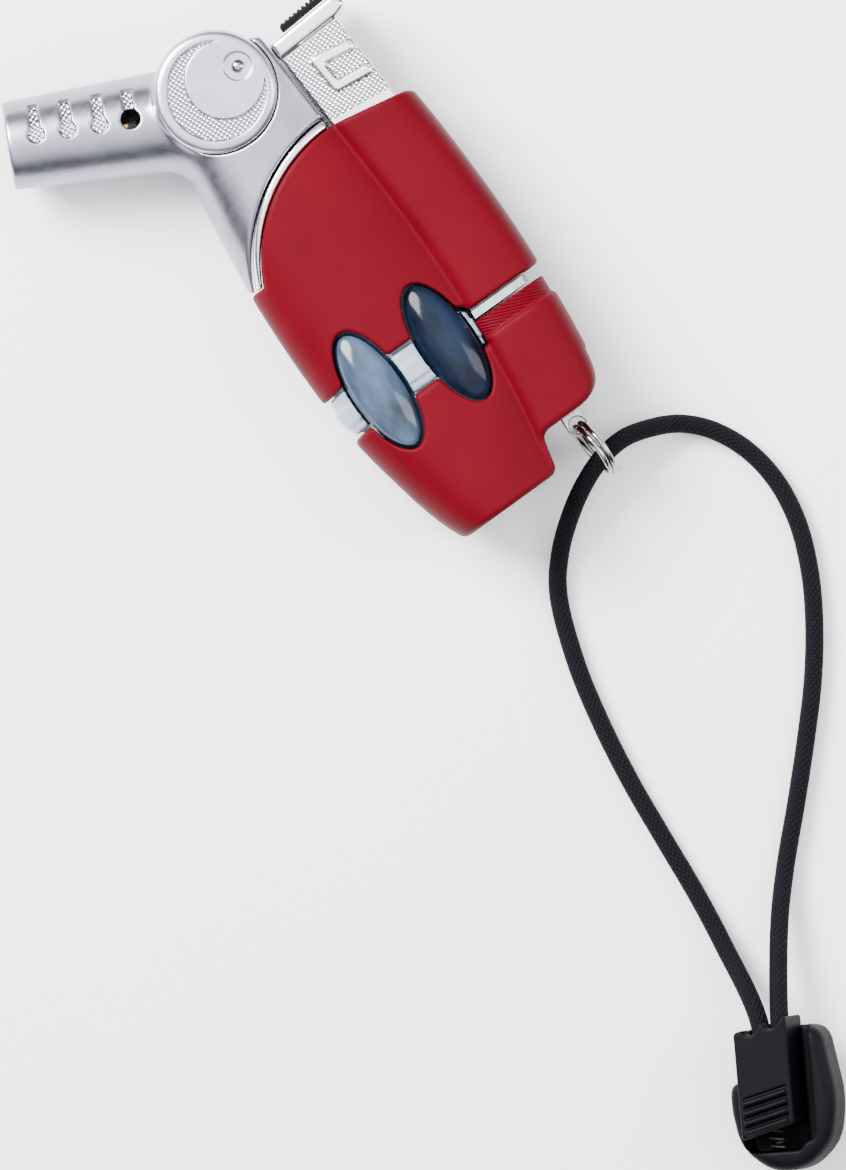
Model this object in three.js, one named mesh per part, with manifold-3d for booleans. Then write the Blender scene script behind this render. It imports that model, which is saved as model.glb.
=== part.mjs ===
// A pocket butane torch on a wrist cord, lying on its broad side.
// Millimetres, +Z up from the table. The parts are drawn around the seam between the two shells,
// with +Y towards the igniter button and -X towards the burner, and the finished group is moved so
// that its origin is the bottom centre of the torch without its cord.

import * as THREE from 'three';
import { mergeVertices } from 'three/addons/utils/BufferGeometryUtils.js';
import Module from 'manifold-3d';

const wasm = await Module();
wasm.setup();

// ---- driving dimensions ----

const THICKNESS = 20; // over the two disc caps, and over the fuel windows
const MID = THICKNESS / 2; // height of the torch's middle plane
const GAP = 0.3; // between neighbouring pieces
const WALL = 1.6; // of the moulded shells

// the body's section at the seam: a wide bulge that meets a narrower ridge in a shallow valley
const BULGE = { centre: 0.3, left: 12.6, right: 20, height: 9.4, power: 2.4 };
const RIDGE = { centre: 18, left: 7, right: 9, height: 8.7, power: 3 };
const VALLEY = 13;
// the body's left and right edges at each height [y, left, right]
const EDGES = [[-26, -4.4, 24.4], [-22.6, -6, 24.9], [-18, -7.6, 25.4], [-13, -8.9, 26.1], [-7, -10.3, 26.6],
  [0, -11.4, 26.9], [7, -11.95, 27.05], [14, -12.2, 26.9], [22, -12.15, 26.4], [30, -11.6, 25.7],
  [38, -10.9, 24.8], [46, -10.2, 24.1], [54, -9.5, 23.4]];

// where the head meets the upper shell: two arcs with the chrome collar between them
const SHELL_ARC = { x: 12.5, y: 13, r: 24.2 };
const HEAD_ARC = { x: 12.9, y: 12.9, r: 25.9 };

const MOUTH = new THREE.Vector3(-30.75, 60.8, MID); // centre of the burner's mouth
const BURNER_ANGLE = THREE.MathUtils.degToRad(-23.5); // from the mouth into the head
const BARREL = { length: 30, mouthRadius: 6.65, rootRadius: 7.9, bore: 5.4, boreDepth: 26 };
const GROOVES = [4.5, 9.3, 14.15, 18.8]; // bulb of each keyhole groove, from the mouth
const DISC = { x: -0.2, y: 50.8, r: 9.3 };
const CAP_HEIGHT = 2;

const WINDOWS = [{ side: 'left', x: -3.6, y: 0 }, { side: 'right', x: 8.9, y: 0.6 }];
const WINDOW = { across: 4, along: 10, lean: THREE.MathUtils.degToRad(2.5) };

const BUTTON_TILT = THREE.MathUtils.degToRad(5.7);
const BUTTON_HALF_DEPTH = 6.5;
const PIEZO = { x: 18, y: 30 };

const VALVE_X = 0;
const LEVER_PIVOT = { x: 4.5, y: 27 };
const REFILL_X = 1.5;
const ADJUSTER_X = 8.2;

const LUG = { x: 18.8, holeY: -20.35, halfWidth: 1.75, hole: 1.3, thickness: 1.6 };
const RING = {
  radius: 4.35, wire: 0.42, pitch: 0.95, turns: 1.94, z: 9.4,
  lean: THREE.MathUtils.degToRad(6), roll: THREE.MathUtils.degToRad(12),
};

const CORD_RADIUS = 1.4;
const LOCK = { x: -8.3, y: -122.2, z: 2.4, turn: -27.5, roll: -22, cordX: 1.6, cordZ: 5.6, housingX: 1.2 };

// ---- materials ----

const material = (color, roughness, metalness = 0) =>
  new THREE.MeshStandardMaterial({ color, roughness, metalness });

const satinSilver = material(0xc4c8cf, 0.35, 0.9);
const brightSilver = material(0xe2e4e6, 0.18, 1);
const redShell = material(0xa0242d, 0.55);
const blackPlastic = material(0x1c1c20, 0.6);
const tankPlastic = material(0xb9c6d6, 0.2);
const windowPlastic = material(0x4c6078, 0.1);
const brass = material(0xc9a24a, 0.3, 1);
const steel = material(0x9a9c9f, 0.35, 1);
const nickel = material(0xd0d0ce, 0.15, 1);
const ceramic = material(0xeae4d8, 0.5);
const rubber = material(0x151515, 0.8);
const hoseBlack = material(0x2a2a2e, 0.5);
const wireRed = material(0x8c1d1d, 0.5);
const cordBlack = material(0x20232c, 0.9);
const lockBlack = material(0x2c2c31, 0.7);

// ---- solids ----

const parts = new THREE.Group();

function solid(geometry) {
  const plain = geometry.clone();
  plain.deleteAttribute('normal');
  plain.deleteAttribute('uv');
  const merged = mergeVertices(plain, 1e-4);
  return new wasm.Manifold(new wasm.Mesh({
    numProp: 3,
    vertProperties: new Float32Array(merged.attributes.position.array),
    triVerts: new Uint32Array(merged.index.array),
  }));
}

function geometryOf(manifold) {
  const { vertProperties, triVerts } = manifold.getMesh();
  const geometry = new THREE.BufferGeometry();
  geometry.setAttribute('position', new THREE.BufferAttribute(vertProperties, 3));
  geometry.setIndex(new THREE.BufferAttribute(triVerts, 1));
  geometry.computeVertexNormals();
  return geometry;
}

function add(name, shape, surface, group = parts) {
  const geometry = shape.isBufferGeometry ? shape : geometryOf(shape);
  const mesh = new THREE.Mesh(geometry, surface);
  mesh.name = name;
  group.add(mesh);
  return mesh;
}

const join = (...solids) => solids.reduce((whole, next) => whole.add(next));
const cut = (whole, ...tools) => tools.reduce((rest, tool) => rest.subtract(tool), whole);

const box = (low, high) => solid(new THREE.BoxGeometry(high[0] - low[0], high[1] - low[1], high[2] - low[2])
  .translate((low[0] + high[0]) / 2, (low[1] + high[1]) / 2, (low[2] + high[2]) / 2));

function prismGeometry(outline, bottom, top, bevel = 0, curveSegments = 12) {
  const shape = Array.isArray(outline)
    ? new THREE.Shape(outline.map(([x, y]) => new THREE.Vector2(x, y))) : outline;
  return new THREE.ExtrudeGeometry(shape, {
    depth: top - bottom - 2 * bevel, curveSegments,
    bevelEnabled: bevel > 0, bevelThickness: bevel, bevelSize: bevel, bevelOffset: -bevel, bevelSegments: 2,
  }).translate(0, 0, bottom + bevel);
}

const prism = (...args) => solid(prismGeometry(...args));

// a cylinder along Z
const post = (x, y, radius, bottom, top, sides = 32) =>
  solid(new THREE.CylinderGeometry(radius, radius, top - bottom, sides)
    .rotateX(Math.PI / 2).translate(x, y, (bottom + top) / 2));

// a profile of [radius, distance] turned about a line along Y through (x, MID)
const turnedUpright = (profile, x, sides = 16) =>
  new THREE.LatheGeometry(profile.map(([r, d]) => new THREE.Vector2(r, d)), sides).translate(x, 0, MID);

// the same about the burner's axis, with distance measured from the mouth into the head
function turnedBurner(profile, sides = 32, drop = 0) {
  return new THREE.LatheGeometry(profile.map(([r, d]) => new THREE.Vector2(r, d)), sides)
    .rotateZ(BURNER_ANGLE - Math.PI / 2)
    .translate(MOUTH.x, MOUTH.y, MOUTH.z - drop);
}

const burnerPoint = (along, across = 0) => new THREE.Vector2(along, across)
  .rotateAround(new THREE.Vector2(), BURNER_ANGLE).add(new THREE.Vector2(MOUTH.x, MOUTH.y));

function tube(curve, radius, sides, steps) {
  const section = new THREE.Shape(Array.from({ length: sides }, (_, i) => {
    const angle = 2 * Math.PI * i / sides;
    return new THREE.Vector2(radius * Math.cos(angle), radius * Math.sin(angle));
  }));
  return new THREE.ExtrudeGeometry(section, { extrudePath: curve, steps, bevelEnabled: false });
}

class Helix extends THREE.Curve {
  constructor(radius, length, turns) {
    super();
    Object.assign(this, { radius, length, turns });
  }

  getPoint(t) {
    const angle = 2 * Math.PI * this.turns * t;
    return new THREE.Vector3(this.radius * Math.cos(angle), this.length * (t - 0.5),
      this.radius * Math.sin(angle));
  }
}

// a compression spring along Y between two distances
const spring = (radius, wire, from, to, turns) =>
  tube(new Helix(radius, to - from - 2 * wire, turns), wire, 5, turns * 8).translate(0, (from + to) / 2, 0);

// a closed ring along Y with the given middle radius
const oRing = (radius, wire, x, y) =>
  new THREE.TorusGeometry(radius, wire, 6, 16).rotateX(Math.PI / 2).translate(x, y, MID);

// ---- the body's outer form, and the same form a little smaller ----

// half the thickness where the two lobes meet between their crests
const lobeHeight = (lobe, x, inset) => {
  const reach = x < lobe.centre ? lobe.left : lobe.right;
  return (lobe.height - inset) * (1 - Math.abs((x - lobe.centre) / reach) ** lobe.power) ** (1 / lobe.power);
};

// [x, height] along the upper half of the section, from the left edge to the right edge
function sectionHalf(inset) {
  const points = [];
  const quarter = 5;
  for (let i = 0; i <= quarter; i += 1) {
    const angle = Math.PI / 2 * i / quarter;
    points.push([BULGE.centre - (BULGE.left - inset) * Math.cos(angle) ** (2 / BULGE.power),
      (BULGE.height - inset) * Math.sin(angle) ** (2 / BULGE.power)]);
  }
  for (const x of [4, 7.5, 10.5]) points.push([x, lobeHeight(BULGE, x, inset)]);
  for (const x of [VALLEY, 14.2, 15.8]) points.push([x, lobeHeight(RIDGE, x, inset)]);
  for (let i = 0; i <= quarter; i += 1) {
    const angle = Math.PI / 2 * i / quarter;
    points.push([RIDGE.centre + (RIDGE.right - inset) * Math.sin(angle) ** (2 / RIDGE.power),
      (RIDGE.height - inset) * Math.cos(angle) ** (2 / RIDGE.power)]);
  }
  return points;
}

function bodyForm(inset) {
  const upper = sectionHalf(inset);
  const lower = upper.slice(1, -1).reverse().map(([x, height]) => [x, -height]);
  const ring = [...upper, ...lower];
  const restLeft = BULGE.left - BULGE.centre;
  const restRight = RIDGE.centre + RIDGE.right - VALLEY;
  const form = new THREE.CylinderGeometry(1, 1, 1, ring.length, EDGES.length - 1);
  const position = form.attributes.position;
  for (let i = 0; i < position.count; i += 1) {
    const [y, leftEdge, rightEdge] = EDGES[Math.round((position.getY(i) + 0.5) * (EDGES.length - 1))];
    const turn = Math.atan2(position.getX(i), position.getZ(i)) / (2 * Math.PI);
    const onAxis = Math.hypot(position.getX(i), position.getZ(i)) < 0.5;
    const [x, height] = onAxis ? [VALLEY, 0]
      : ring[(Math.round(turn * ring.length) + ring.length) % ring.length];
    const left = (VALLEY - leftEdge) / (VALLEY + restLeft);
    const right = (rightEdge - VALLEY) / restRight;
    position.setXYZ(i, VALLEY + (x - VALLEY) * (x < VALLEY ? left : right), y, MID + height);
  }
  return solid(form);
}

const windowEllipse = (window, grow) => new THREE.Shape().absellipse(
  window.x, window.y, WINDOW.across + grow, WINDOW.along + grow, 0, 2 * Math.PI, false, WINDOW.lean);

// wells for the windows, cut from both broad sides down to this distance from the middle plane
const windowWells = (middle = 0) => join(...WINDOWS.flatMap((window) =>
  [[MID + middle, THICKNESS + 1], [-1, MID - middle]].map(([bottom, top]) =>
    prism(windowEllipse(window, GAP), bottom, top, 0, 14))));

// the passage for hose and wire, from the valve chamber up into the burner's bore
function passage() {
  const from = new THREE.Vector3(1, 29, MID);
  const to = new THREE.Vector3(-6.1, 52.5, MID);
  const path = new THREE.LineCurve3(from, to);
  return solid(tube(path, 2.8, 16, 1));
}

// ---- head ----

function addHead() {
  const { length, mouthRadius, rootRadius, bore, boreDepth } = BARREL;
  const edge = 0.35;
  const barrel = solid(turnedBurner([[0, boreDepth], [bore, boreDepth], [bore, edge], [bore + edge, 0],
    [mouthRadius - edge, 0], [mouthRadius, edge], [rootRadius, length], [0, length]], 32));
  const boreTool = solid(turnedBurner([[0, -1], [bore, -1], [bore, boreDepth], [0, boreDepth]], 24));
  const hub = post(DISC.x, DISC.y, DISC.r - 0.3, CAP_HEIGHT + GAP, THICKNESS - CAP_HEIGHT - GAP, 40);

  const neckOutline = new THREE.Shape();
  neckOutline.moveTo(-13, 22.5).lineTo(-13, 43.5).lineTo(-9, 52).lineTo(8, 52).lineTo(11.4, 38.8);
  neckOutline.absarc(HEAD_ARC.x, HEAD_ARC.y, HEAD_ARC.r + GAP, Math.PI / 2 + 0.06, Math.PI - 0.375, false);
  const neck = prism(neckOutline, 0, THICKNESS).intersect(bodyForm(0));
  const platform = prism([[4, 55], [7.5, 55.2], [9.6, 54.4], [9.9, 54], [11.4, 38.8], [6, 39.5]],
    CAP_HEIGHT, THICKNESS - CAP_HEIGHT, 0.5);

  const airHole = burnerPoint(18.8, 1);
  const coreProfile = [[0, 1], [mouthRadius - 0.5, 1], [rootRadius - 0.5, length], [0, length]];
  const core = solid(turnedBurner(coreProfile, 24));
  const groove = (along) => {
    const slot = new THREE.Shape();
    slot.moveTo(along - 0.75, 6).lineTo(along - 0.75, 1.9);
    slot.absarc(along, 0.9, 1.25, Math.PI - 0.93, 0.93, false);
    slot.lineTo(along + 0.75, 6);
    const cutter = prismGeometry(slot, 0, THICKNESS, 0, 4)
      .rotateZ(BURNER_ANGLE).translate(MOUTH.x, MOUTH.y, 0);
    return solid(cutter).subtract(core);
  };
  const pinHole = post(4.7, 52.2, 1.1, -1, THICKNESS + 1, 16).subtract(box([0, 45, 5], [9, 58, 15]));
  const discSeat = (bottom, top) => post(DISC.x, DISC.y, DISC.r + GAP, bottom, top, 32);

  const head = cut(join(barrel, hub, neck, platform), boreTool, passage(), pinHole,
    discSeat(-1, CAP_HEIGHT + GAP), discSeat(THICKNESS - CAP_HEIGHT - GAP, THICKNESS + 1),
    post(airHole.x, airHole.y, 1.45, -1, THICKNESS + 1, 20), ...GROOVES.map(groove));
  add('head_casting', head, satinSilver);
}

function addDiscCap(side) {
  const front = side === 'front';
  const [bottom, top] = front ? [THICKNESS - CAP_HEIGHT, THICKNESS] : [0, CAP_HEIGHT];
  const face = front ? [THICKNESS - 0.5, THICKNESS + 1] : [-1, 0.5];
  const edge = 0.7;
  const profile = front
    ? [[0, bottom], [DISC.r, bottom], [DISC.r, top - edge], [DISC.r - edge, top], [0, top]]
    : [[0, bottom], [DISC.r - edge, bottom], [DISC.r, bottom + edge], [DISC.r, top], [0, top]];
  const disc = solid(new THREE.LatheGeometry(profile.map(([r, z]) => new THREE.Vector2(r, z)), 36)
    .rotateX(Math.PI / 2).translate(DISC.x, DISC.y, 0));
  const moon = post(0, DISC.y, 7.45, ...face, 28).subtract(post(1.9, DISC.y + 0.8, 5.95, ...face, 28));
  add(`disc_cap_${side}`, cut(disc, moon, post(4.65, 52.25, 2.1, ...face, 24),
    post(4.7, 52.2, 1.1, -1, THICKNESS + 1, 16)), satinSilver);

  const ball = solid(new THREE.SphereGeometry(1.35, 12, 8)
    .translate(4.7, 52.2, front ? THICKNESS - 1.4 + 0.9 : 0.5));
  const headOnly = front ? box([0, 48, THICKNESS - 0.5 + GAP], [9, 57, THICKNESS])
    : box([0, 48, 0], [9, 57, 0.5 - GAP]);
  const shank = front ? post(4.7, 52.2, 0.8, THICKNESS - 4.5, THICKNESS - 0.1, 12)
    : post(4.7, 52.2, 0.8, 0.1, 4.5, 12);
  add(`cap_pin_${side}`, join(ball.intersect(headOnly), shank), nickel);
}

function addBurner() {
  add('flame_guard', turnedBurner([[4.5, 1.5], [5.1, 1.5], [5.1, 16], [4.5, 16], [4.5, 1.5]], 32), steel);
  const holes = [0, 1, 2].map((i) => {
    const angle = Math.PI / 2 + Math.PI * (i - 1) / 2.5;
    return solid(turnedBurner([[0, 8], [0.55, 8], [0.55, 12], [0, 12]], 6)
      .translate(...new THREE.Vector3(-Math.sin(BURNER_ANGLE) * 2.6 * Math.cos(angle),
        Math.cos(BURNER_ANGLE) * 2.6 * Math.cos(angle), 2.6 * Math.sin(angle)).toArray()));
  });
  const mesh = solid(turnedBurner([[0, 9], [4.2, 9], [4.2, 11], [0, 11]], 24));
  const insulatorHole = solid(turnedBurner([[0, 8], [1.25, 8], [1.25, 12], [0, 12]], 10, 2.8));
  add('burner_mesh', cut(mesh, insulatorHole, ...holes,
    solid(turnedBurner([[0, 8], [0.9, 8], [0.9, 12], [0, 12]], 12))), ceramic);
  add('mixing_tube', turnedBurner([[0.9, 11.3], [1.5, 11.3], [1.5, 18.2], [0.9, 18.2], [0.9, 11.3]], 20),
    brass);
  add('jet_nozzle', turnedBurner(
    [[0.35, 19.4], [0.9, 19.4], [1.5, 21], [1.5, 25.7], [0.35, 25.7], [0.35, 19.4]],
    20), brass);
  add('electrode_insulator',
    turnedBurner([[0.6, 4], [0.95, 4], [0.95, 23.5], [0.6, 23.5], [0.6, 4]], 16, 2.8),
    ceramic);
  add('electrode', turnedBurner([[0, 2], [0.3, 2], [0.3, 23.9], [0, 23.9]], 10, 2.8), steel);
}

function addNeckCollar() {
  const outer = post(HEAD_ARC.x, HEAD_ARC.y, HEAD_ARC.r - 0.1, -1, THICKNESS + 1, 64);
  const inner = post(SHELL_ARC.x, SHELL_ARC.y, SHELL_ARC.r + GAP, -1, THICKNESS + 1, 64);
  const span = prism([[-14, 22.5], [0, 22.5], [11, 30], [11, 40], [-14, 40]], 0, THICKNESS);
  add('neck_collar', cut(outer.intersect(span), inner, passage()).intersect(bodyForm(0.1)), brightSilver);
}

// ---- shells, tank and windows ----

function addUpperShell() {
  const outline = new THREE.Shape();
  outline.moveTo(-14, 2.2).lineTo(-7.7, 3.3).lineTo(13, 4.1).lineTo(14.3, 2.9).lineTo(28, 3.5);
  outline.lineTo(28, 34.5).lineTo(24.9, 35.2).lineTo(23.5, 35.8);
  outline.absarc(SHELL_ARC.x, SHELL_ARC.y, SHELL_ARC.r, Math.PI / 2, Math.PI - 0.39, false);
  outline.lineTo(-14, 22.1);
  const outer = bodyForm(0).intersect(prism(outline, 0, THICKNESS, 0, 24));
  add('upper_shell', cut(outer, bodyForm(WALL), windowWells()), redShell);
}

function addLowerShell() {
  const outline = new THREE.Shape();
  outline.moveTo(-14, -4.9).lineTo(-7.1, -3.9).lineTo(13, -2.9).lineTo(14.1, -2.9).lineTo(14.1, -1.7);
  outline.lineTo(28, -1.1).lineTo(28, -13);
  outline.lineTo(25.6, -14.7).quadraticCurveTo(25, -17.9, 20, -18.15).lineTo(14.6, -18.5);
  outline.quadraticCurveTo(13.5, -18.6, 13.4, -19.8).lineTo(12.6, -23.8);
  outline.quadraticCurveTo(12.4, -24.6, 11.5, -24.7).lineTo(-4, -25.65).lineTo(-14, -25.9);
  const strip = prism([[14.1, -2.5], [28, -2.5], [28, 1.6], [14.1, 0.9]], 0, THICKNESS);
  const outer = join(bodyForm(0).intersect(prism(outline, 0, THICKNESS)), bodyForm(0.6).intersect(strip));
  const inside = bodyForm(WALL).intersect(prism([[-14, 6], [-14, -23.6], [11.1, -22.8], [11.8, -18],
    [13.8, -16.5], [23.2, -16.1], [28, -12], [28, 6]], 0, THICKNESS));
  const floorHoles = [[REFILL_X, 2.9], [ADJUSTER_X, 1.9]].map(([x, radius]) =>
    solid(turnedUpright([[0, -27], [radius, -27], [radius, -22], [0, -22]], x)));
  const lugReach = LUG.halfWidth + GAP;
  const lugHole = box([LUG.x - lugReach, -19.5, MID - 1.1], [LUG.x + lugReach, -15, MID + 1.1]);
  add('lower_shell', cut(outer, inside, windowWells(), lugHole, ...floorHoles), redShell);
}

function addTank() {
  const vessel = bodyForm(2).intersect(prism([[-14, -22], [11, -21.3], [12.2, -15], [12.2, 18], [-14, 18]],
    0, THICKNESS));
  const band = bodyForm(0.25).intersect(prism([[-14, -4.5], [-7.3, -3.55], [12.8, -2.6], [13.8, -2.6],
    [13.8, 2.85], [12.8, 3.7], [-7.7, 3], [-14, 1.9]], 0, THICKNESS));
  const inside = bodyForm(3.5).intersect(prism([[-14, -20.4], [9.5, -19.8], [10.7, -14.5], [10.7, 16.4],
    [-14, 16.4]], 0, THICKNESS));
  const hole = (x, radius, from, to) =>
    solid(turnedUpright([[0, from], [radius, from], [radius, to], [0, to]], x));
  add('fuel_tank', cut(join(vessel, band.subtract(windowWells(5))), inside, hole(VALVE_X, 3.3, 15, 19),
    hole(REFILL_X, 2.6, -23, -19), hole(ADJUSTER_X, 0.9, -23, -19)), tankPlastic);
}

function addWindow(window, side) {
  const front = side === 'front';
  const dome = solid(new THREE.SphereGeometry(1, 20, 12).rotateX(Math.PI / 2).scale(7.5, 17, MID)
    .translate(window.x, window.y, MID));
  const half = front ? box([-14, -14, MID], [28, 14, THICKNESS]) : box([-14, -14, 0], [28, 14, MID]);
  const lens = prism(windowEllipse(window, 0), 0, THICKNESS, 0, 12).intersect(dome).intersect(half);
  add(`window_${side}_${window.side}`, lens.subtract(bodyForm(2 - GAP)), windowPlastic);
}

// ---- button, igniter and chassis ----

const tiltedGroup = () => {
  const group = new THREE.Group();
  group.position.set(PIEZO.x, PIEZO.y, MID);
  group.rotation.z = BUTTON_TILT;
  parts.add(group);
  return group;
};

// drawn in the tilted frame: +Y out of the shell, Z from the middle plane
function buttonSolid() {
  const depth = BUTTON_HALF_DEPTH;
  const stemForm = bodyForm(WALL + GAP).translate([-PIEZO.x, -PIEZO.y, -MID])
    .rotate([0, 0, -THREE.MathUtils.radToDeg(BUTTON_TILT)]);
  const stem = prism([[-5.2, 1.5], [5, 1.5], [5, 20.6], [-5.2, 20.6]], -depth, depth).intersect(stemForm);
  const lip = prism([[-5.5, 20.2], [5.7, 20.2], [7.6, 20.8], [7.6, 22.6], [6.4, 23.6], [-5.5, 23.2]],
    -depth - 0.4, depth + 0.4, 0.5);
  const ribShape = new THREE.Shape();
  ribShape.moveTo(4.4, 10.4).lineTo(-0.9, 11.2).quadraticCurveTo(-1.9, 11.3, -1.9, 12.3).lineTo(-2, 16.6);
  ribShape.quadraticCurveTo(-2.1, 17.8, -1, 17.6).lineTo(4.4, 16.5).lineTo(4.4, 14.9).lineTo(-0.6, 15.8);
  ribShape.lineTo(-0.5, 12.7).lineTo(4.4, 12);
  const ribs = [[4, depth + 0.5], [-depth - 0.5, -4]].map(([low, high]) => prism(ribShape, low, high, 0, 6));
  const pocket = box([-4.1, 0, -4.8], [4.1, 19.8, 4.8]);
  const foot = box([-1.8, -2, 4.4], [0.2, 3, 5.8]);
  return join(cut(join(stem, lip, ...ribs), pocket), foot);
}

function addButton() {
  const tilted = tiltedGroup();
  add('igniter_button', buttonSolid(), brightSilver, tilted);

  const ribs = Array.from({ length: 7 }, (_, i) => -3 + i * 1.05)
    .map((left) => box([left, 23.9, -5], [left + 0.6, 24.8, 5]));
  add('thumb_pad', join(box([-3.4, 23.75, -5.4], [4.3, 24.1, 5.4]), ...ribs), blackPlastic, tilted);

  const socket = box([-2.6, -12, -2.6], [2.6, 0, 2.6]);
  add('piezo_body', cut(box([-3.8, -26, -3.5], [3.8, -1, 3.5]), socket), blackPlastic, tilted);
  add('piezo_plunger', box([-2.3, -5, -2.3], [2.3, 19.5, 2.3]), blackPlastic, tilted);
  add('button_spring', spring(1.7, 0.25, -11.7, -5.3, 5), steel, tilted);
}

function addChassis() {
  const plate = prism([[-7.5, 20.8], [-5.5, 25], [-2.5, 28.6], [1.5, 31], [11, 31], [11.6, 26], [26, 26],
    [26, 2], [14.6, 2], [14.2, 20.8]], 4.4, 5.6).intersect(bodyForm(1.9));
  const flange = prism([[14.4, 1.3], [23.7, 1.8], [23.7, 3], [14.4, 2.5]], 0, THICKNESS)
    .intersect(bodyForm(1));
  const boss = post(LEVER_PIVOT.x, LEVER_PIVOT.y, 1.7, 5, 11.9, 20)
    .subtract(post(LEVER_PIVOT.x, LEVER_PIVOT.y, 0.8 + GAP, 6.2, 12, 16));
  add('chassis', join(plate, flange, boss), steel);
}

// ---- gas valve and lever ----

function addValve() {
  add('valve_body', turnedUpright([
    [0.5, 8], [3, 8], [3, 16.6], [2.2, 16.6], [2.2, 17.8], [3, 17.8], [3, 18.3],
    [4.3, 18.3], [4.3, 19.8], [2.4, 19.8], [2.4, 21.5], [1.15, 21.5], [1.15, 16], [2.1, 16], [2.1, 9.5],
    [0.5, 9.5], [0.5, 8]], VALVE_X), brass);
  add('valve_o_ring', oRing(2.87, 0.34, VALVE_X, 17.2), rubber);
  add('valve_stem', turnedUpright([[0, 9.9], [1.7, 9.9], [1.7, 11.2], [1.05, 11.2], [1.05, 28], [2.3, 28],
    [2.3, 29], [1.05, 29], [1.05, 30], [0, 30]], VALVE_X), brass);
  add('valve_spring', spring(1.6, 0.2, 11.5, 15.7, 4).translate(VALVE_X, 0, MID), steel);

  const { x, y } = LEVER_PIVOT;
  const arm = box([x - 3.1, y - 1, 14.4], [18.5, y + 0.5, 15.6]);
  const bridge = box([x - 3.1, y - 1, 7.2], [x - 2.1, y + 0.5, 15.6]);
  const prongs = [[7.2, 8.6], [11.4, 12.8]]
    .map(([low, high]) => box([-1.2, y - 1, low], [x - 2.6, y + 0.5, high]));
  const hub = post(x, y, 1.9, 12.3, 15.6, 24);
  add('gas_lever', cut(join(arm, bridge, hub, ...prongs), post(x, y, 0.88, 0, THICKNESS, 24)), steel);
  add('lever_pin', post(x, y, 0.8, 6.5, 16, 24), steel);

  const hosePath = new THREE.CatmullRomCurve3([[0, 30.4, 10], [-0.3, 33, 10.6], [-1.8, 38, 11],
    [-3.9, 45, 11], [-5.6, 49.9, 10.4]].map((p) => new THREE.Vector3(...p)));
  add('gas_hose', tube(hosePath, 0.9, 8, 12), hoseBlack);
  const wirePath = new THREE.CatmullRomCurve3([[14.2, 24.6, 7.4], [9.5, 28.4, 6.8], [2.8, 31.2, 7.8],
    [-0.7, 35, 8.4], [-2.6, 41, 8.5], [-4.9, 47.5, 8.4], [-6.8, 50.4, 8.2], [-8, 51.1, 7.6]]
    .map((p) => new THREE.Vector3(...p)));
  add('ignition_wire', tube(wirePath, 0.45, 6, 16), wireRed);
}

function addRefill() {
  add('refill_valve_body', turnedUpright([
    [0.85, -25.1], [2.6, -25.1], [2.6, -22.4], [2.3, -22.4], [2.3, -21.9], [1.9, -21.9], [1.9, -20.7],
    [2.3, -20.7], [2.3, -15], [0.5, -15], [0.5, -16.2], [1.5, -16.2], [1.5, -21.5],
    [0.85, -21.5], [0.85, -25.1]], REFILL_X), brass);
  add('refill_o_ring', oRing(2.26, 0.26, REFILL_X, -21.3), rubber);
  add('refill_stem', turnedUpright([[0, -24.9], [0.75, -24.9], [0.75, -21.2], [1.25, -21.2], [1.25, -20.2],
    [0, -20.2]], REFILL_X), brass);
  add('refill_spring', spring(1.05, 0.17, -19.9, -16.5, 4).translate(REFILL_X, 0, MID), steel);
  const screwProfile = [[0, -24.7], [1.6, -24.7], [1.6, -22.5], [0.8, -22.5], [0.8, -19], [0, -19]];
  const screw = solid(turnedUpright(screwProfile, ADJUSTER_X));
  const slot = box([ADJUSTER_X - 2, -25, MID - 0.3], [ADJUSTER_X + 2, -24, MID + 0.3]);
  add('flame_adjuster', screw.subtract(slot), brass);
}

// ---- lanyard ----

function addLanyard() {
  const half = LUG.halfWidth;
  const eye = new THREE.Shape();
  eye.moveTo(LUG.x + half, LUG.holeY).lineTo(LUG.x + half, -16.05).lineTo(LUG.x + half + 1, -16.05);
  eye.lineTo(LUG.x + half + 1, -14.8).lineTo(LUG.x - half - 1, -14.8).lineTo(LUG.x - half - 1, -16.05);
  eye.lineTo(LUG.x - half, -16.05).lineTo(LUG.x - half, LUG.holeY);
  eye.absarc(LUG.x, LUG.holeY, half, Math.PI, 2 * Math.PI, false);
  add('eyelet_lug', prism(eye, MID - LUG.thickness / 2, MID + LUG.thickness / 2)
    .subtract(post(LUG.x, LUG.holeY, LUG.hole, 0, THICKNESS, 20)), nickel);

  const ring = new THREE.Group();
  const reach = new THREE.Vector2(0, -RING.radius).rotateAround(new THREE.Vector2(), RING.lean);
  ring.position.set(LUG.x + reach.x, LUG.holeY + reach.y, RING.z);
  ring.rotation.z = Math.PI / 2 + RING.lean;
  parts.add(ring);
  const wire = tube(new Helix(RING.radius, RING.pitch * RING.turns, RING.turns), RING.wire, 6, 40);
  add('split_ring', wire.rotateY(Math.PI).rotateX(RING.roll), nickel, ring);
}

const lockTurn = new THREE.Matrix4().makeRotationZ(THREE.MathUtils.degToRad(LOCK.turn));
const lockRoll = new THREE.Matrix4().makeRotationY(THREE.MathUtils.degToRad(LOCK.roll));
const lockPoint = (x, y) => new THREE.Vector3(x, y, LOCK.cordZ).applyMatrix4(lockRoll).applyMatrix4(lockTurn)
  .add(new THREE.Vector3(LOCK.x, LOCK.y, LOCK.z));

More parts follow.
